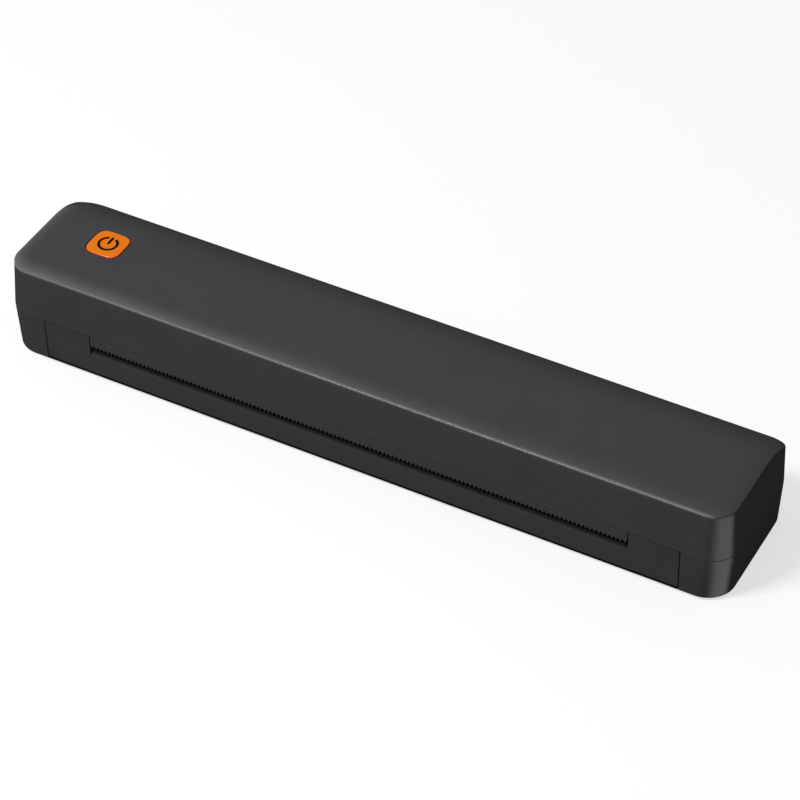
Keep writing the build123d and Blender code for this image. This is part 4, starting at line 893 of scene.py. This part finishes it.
def button_cap(size, top):
    """Cap as rings from the flange up over the rounded edge to the middle of the top."""
    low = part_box("power_button")[0]
    stem, flange, flange_height, steps, ring = 2.2 * MM, 1.5 * MM, 1.0 * MM, 6, 72
    seat = low[2] + stem
    profile = [(2 * flange, seat), (2 * flange, seat + flange_height), (0.0, seat + flange_height)]
    for k in range(steps + 1):
        a = pi / 2 * k / steps
        profile.append((-2 * size.edge * (1 - cos(a)), top - size.edge + size.edge * sin(a)))
    profile += [(-share * size.size, top) for share in (0.35, 0.65, 0.9)]
    points = [(x, y, z) for grow, z in profile for x, y in squircle(size, size.size + grow)]
    points.append((size.x, size.y, top))
    last = (len(profile) - 1) * ring
    middle = [[last + k, last + (k + 1) % ring, len(points) - 1] for k in range(ring)]
    return mesh_from("power_cap", points, bands(ring, len(profile)) + middle + [list(range(ring))[::-1]])


def ribbon(path, width, z0, z1, name):
    """Flat printed line along a plan path, round at both ends."""
    caps, half = 8, width / 2
    left, right, headings = [], [], []
    for k, (x, y) in enumerate(path):
        ahead = path[min(k + 1, len(path) - 1)]
        behind = path[max(k - 1, 0)]
        heading = atan2(ahead[1] - behind[1], ahead[0] - behind[0])
        headings.append(heading)
        left.append((x - half * sin(heading), y + half * cos(heading)))
        right.append((x + half * sin(heading), y - half * cos(heading)))

    def cap(centre, heading):
        turns = [heading - pi / 2 + pi * k / caps for k in range(1, caps)]
        return [(centre[0] + half * cos(a), centre[1] + half * sin(a)) for a in turns]

    mesh = prism(right + cap(path[-1], headings[-1]) + left[::-1] + cap(path[0], headings[0] + pi), z0, z1)
    mesh.name = name
    return mesh


class PRINTER_OT_power_button(PrinterStep):
    """Power button with its rounded cap and printed mark"""
    bl_idname = "printer.power_button"
    bl_label = "Power button"

    def execute(self, context):
        case, size = context.scene.printer_case, context.scene.printer_button
        top = button_top(case, size)
        mesh = button_cap(size, top)
        smooth(mesh, 50.0)
        cap = new_object("power_cap", mesh, "button")
        gap, steps, foot, sunk, ink = radians(30), 48, 0.2 * MM, 0.05 * MM, 0.02 * MM
        turns = [mix(gap, 2 * pi - gap, k / steps) for k in range(steps + 1)]
        arc = [(size.x + size.mark_radius * sin(a), size.y + size.mark_radius * cos(a)) for a in turns]
        bar = [(size.x, size.y + foot), (size.x, size.y + size.mark_radius)]
        marks = [new_object(name, ribbon(path, size.mark_stroke, top - sunk, top + ink, name), "mark")
                 for name, path in (("mark_ring", arc[::-1]), ("mark_bar", bar))]
        for piece in (cap, *marks):
            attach(piece, "button")
        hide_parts("power_button")
        return {"FINISHED"}


def screw_tree():
    """Geometry nodes that stand a cross-head screw on each point, head down."""
    tree, given, out = geometry_group("screws", [
        (name, "NodeSocketFloat", value) for name, value in (
            ("Head Radius", 0.002), ("Head Height", 0.001), ("Head Taper", 0.8), ("Shank Radius", 0.001),
            ("Shank Length", 0.01), ("Cross Length", 1.15), ("Cross Width", 0.3), ("Cross Floor", 0.1))])
    radius, height = given["Head Radius"], given["Head Height"]

    def product(first, second):
        return maths(tree, "MULTIPLY", first, given[second] if isinstance(second, str) else second)

    def raised(shape, z):
        return add(tree, "GeometryNodeTransform", [("Geometry", shape.outputs[0]),
                                                   ("Translation", vector(tree, z=z))])

    head = add(tree, "GeometryNodeMeshCone", [
        ("Vertices", 28), ("Side Segments", 3), ("Radius Top", radius),
        ("Radius Bottom", product(radius, "Head Taper")), ("Depth", height)])
    reach = given["Shank Length"]
    shank = add(tree, "GeometryNodeMeshCylinder", [
        ("Vertices", 20), ("Radius", given["Shank Radius"]), ("Depth", reach)])
    shank = raised(shank, maths(tree, "ADD", product(reach, 0.5), height))
    carved = add(tree, "GeometryNodeMeshBoolean", [("Mesh 1", head.outputs[0])], operation="DIFFERENCE",
                 solver="EXACT")
    for x, y in (("Cross Length", "Cross Width"), ("Cross Width", "Cross Length")):
        blade = add(tree, "GeometryNodeMeshCube", [
            ("Size", vector(tree, product(radius, x), product(radius, y), height))])
        tree.links.new(raised(blade, product(height, "Cross Floor")).outputs[0], carved.inputs["Mesh 2"])
    joined = add(tree, "GeometryNodeJoinGeometry", [(0, carved.outputs[0]), (0, shank.outputs[0])])
    screws = add(tree, "GeometryNodeInstanceOnPoints", [
        ("Points", given["Geometry"]), ("Instance", joined.outputs[0])])
    return painted(tree, out, screws.outputs[0], given["Finish"])


class PRINTER_OT_case_screws(PrinterStep):
    """Cross-head screws at the bottom of the wells under the case"""
    bl_idname = "printer.case_screws"
    bl_label = "Case screws"

    def execute(self, context):
        low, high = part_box("case_screws")
        radius, head, shank = 2.25 * MM, 1.8 * MM, 1.25 * MM
        xs, ys = (low[0] + radius, high[0] - radius), (low[1] + radius, high[1] - radius)
        mesh = mesh_from("well_screws", [(x, y, low[2]) for x in xs for y in ys], [])
        piece = new_object("well_screws", mesh, "blackened screw")
        run_nodes(piece, screw_tree(), {
            "Head Radius": radius, "Head Height": head, "Shank Radius": shank,
            "Shank Length": high[2] - low[2] - head, "Finish": finish_of("blackened screw")})
        smooth(piece.data, 30.0)
        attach(piece, "base")
        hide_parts("case_screws")
        return {"FINISHED"}


class PRINTER_OT_leaf_springs(PrinterStep):
    """Leaf springs between the bridge and the head, dressed in the model's own shape"""
    bl_idname = "printer.leaf_springs"
    bl_label = "Leaf springs"

    def execute(self, context):
        piece = dressed("head_springs", "leaf_springs", "spring strip", 0.08 * MM)
        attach(piece, "base")
        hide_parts("head_springs")
        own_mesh(piece)
        return {"FINISHED"}


# Nodes that keep their own shape, by finish.
KEPT = {
    "rubber": "rubber_feet", "platen": "platen_rubber", "guide plastic": "paper_guide",
    "nickel plate": "cover_magnets", "machined brass": "motor_pinion", "motor can": "stepper_motor",
    "extruded aluminium": "head_heat_sink", "glazed ceramic": "head_ceramic", "cell wrap": "battery_cells",
    "stamped socket": "usb_socket", "light pipe": "charge_light",
    "plated sheet": "catch_plates chassis_frame upper_guide motor_bracket spring_bridge",
    "ground steel": "hinge_pins platen_shaft idler_axle motor_shaft head_pivot_rod",
    "blackened screw": "tear_bar_screws chassis_screws motor_screws board_screws",
    "chip resin": "paper_sensor board_parts tact_switch", "solder mask": "head_board main_board",
    "black acetal": "platen_bushes switch_plunger", "white acetal": "platen_gear idler_gear",
}


class PRINTER_OT_inner_finishes(PrinterStep):
    """Finishes of the feet, mechanism, electronics and cells, whose shapes are the model's own"""
    bl_idname = "printer.inner_finishes"
    bl_label = "Inner finishes"

    def execute(self, context):
        for finish, nodes in KEPT.items():
            for node in nodes.split():
                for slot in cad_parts[node].material_slots:
                    slot.material = finish_of(finish)
        return {"FINISHED"}


# ---------------- stage
def lamp(name, place, aim, width, height, power):
    light = set_up(bpy.data.lights.new(name, "AREA"), shape="RECTANGLE", size=width, size_y=height,
                   energy=power)
    turn = (Vector(aim) - Vector(place)).to_track_quat("-Z", "Y").to_euler()
    return set_up(placed(name, light), location=place, rotation_euler=turn)


def seen_directly(tree):
    """1 where the camera sees a surface straight, or in a reflection or through glass."""
    path = add(tree, "ShaderNodeLightPath").outputs
    either = maths(tree, "MAXIMUM", path["Is Camera Ray"], path["Is Glossy Ray"])
    return maths(tree, "MAXIMUM", either, path["Is Transmission Ray"])


def camera_from(view):
    """Camera that stands where the settings say and looks along their azimuth and elevation."""
    a, e = view.azimuth, view.elevation
    back = Vector((sin(a) * cos(e), -cos(a) * cos(e), sin(e)))
    right = Vector((cos(a), sin(a), 0.0))
    matrix = Matrix((right, back.cross(right), back)).transposed().to_4x4()
    matrix.translation = Vector(view.camera)
    camera = set_up(bpy.data.cameras.new("camera"), lens=view.lens, sensor_width=36.0, clip_start=0.05,
                    clip_end=30.0)
    return set_up(placed("camera", camera), matrix_world=matrix)


class PRINTER_OT_stage(PrinterStep):
    """Pale floor, soft studio lamps, white surroundings and the camera"""
    bl_idname = "printer.stage"
    bl_label = "Stage"

    def execute(self, context):
        scene = context.scene
        view = scene.printer_stage
        side, low = 6.0, -0.1 * MM
        corners = ((-side, -side), (side, -side), (side, side), (-side, side))
        mesh = mesh_from("floor", [(x, y, low) for x, y in corners], [[0, 1, 2, 3]])
        floor = placed("floor", mesh)
        hue = scene.printer_colours
        material, tree, shader = surface("pale floor", hue.floor[:], Roughness=0.9, Specular_IOR_Level=0.1)
        seen = seen_directly(tree)
        tone = spread_of(tree, noise(tree, place_of(tree), 3.0), 0.99, 1.0)
        shown = tinted(tree, (*hue.floor, 1.0), tone)
        tree.links.new(mixed(tree, seen, (*hue.bounce, 1.0), shown), shader.inputs["Base Color"])
        shader.inputs["Emission Color"].default_value = (1, 1, 1, 1)
        tree.links.new(maths(tree, "MULTIPLY", seen, view.lift), shader.inputs["Emission Strength"])
        mesh.materials.append(material)

        world = bpy.data.worlds.new("studio")
        world.use_nodes = True
        tree = world.node_tree
        ground = tree.nodes["Background"]
        ground.inputs["Color"].default_value = (1, 1, 1, 1)
        strength = ranged(tree, seen_directly(tree), 0.0, 1.0, view.sky)
        tree.links.new(strength, ground.inputs["Strength"])
        scene.world = world

        lamp("key lamp", (-0.42, -0.66, 1.18), (0, 0, 0), 0.3, 0.3, view.key)
        lamp("back lamp", (-0.6, 1.2, 0.2), (0, 0, 0.02), 0.6, 0.4, view.back)
        scene.camera = camera_from(view)
        scene.view_settings.view_transform = "Standard"
        return {"FINISHED"}


class PRINTER_PT_panel(bpy.types.Panel):
    """Steps and sizes of the printer"""
    bl_label = "Portable A4 printer"
    bl_idname = "PRINTER_PT_panel"
    bl_space_type = "VIEW_3D"
    bl_region_type = "UI"
    bl_category = "Printer"

    def draw(self, context):
        for step in STEPS:
            self.layout.operator(step.bl_idname)
        for group in SETTINGS:
            box = self.layout.box()
            settings = getattr(context.scene, group)
            for name in settings.__annotations__:
                box.prop(settings, name)


SETTINGS = {
    "printer_case": PrinterCaseSizes, "printer_button": PrinterButtonSizes, "printer_tear": PrinterTearSizes,
    "printer_colours": PrinterColours, "printer_stage": PrinterStageSizes,
}
STEPS = (
    PRINTER_OT_case_top, PRINTER_OT_case_base, PRINTER_OT_front_cover, PRINTER_OT_tear_bar,
    PRINTER_OT_power_button, PRINTER_OT_case_screws, PRINTER_OT_leaf_springs, PRINTER_OT_inner_finishes,
    PRINTER_OT_stage,
)


def register():
    for name, group in SETTINGS.items():
        bpy.utils.register_class(group)
        setattr(bpy.types.Scene, name, PointerProperty(type=group))
    for step in (*STEPS, PRINTER_PT_panel):
        bpy.utils.register_class(step)


def unregister():
    for step in (*STEPS, PRINTER_PT_panel):
        bpy.utils.unregister_class(step)
    for name, group in SETTINGS.items():
        delattr(bpy.types.Scene, name)
        bpy.utils.unregister_class(group)


def main():
    register()
    for step in STEPS:
        family, action = step.bl_idname.split(".")
        if getattr(getattr(bpy.ops, family), action)() != {"FINISHED"}:
            raise RuntimeError(f"{step.bl_label} did not finish")


if __name__ == "__main__":
    main()
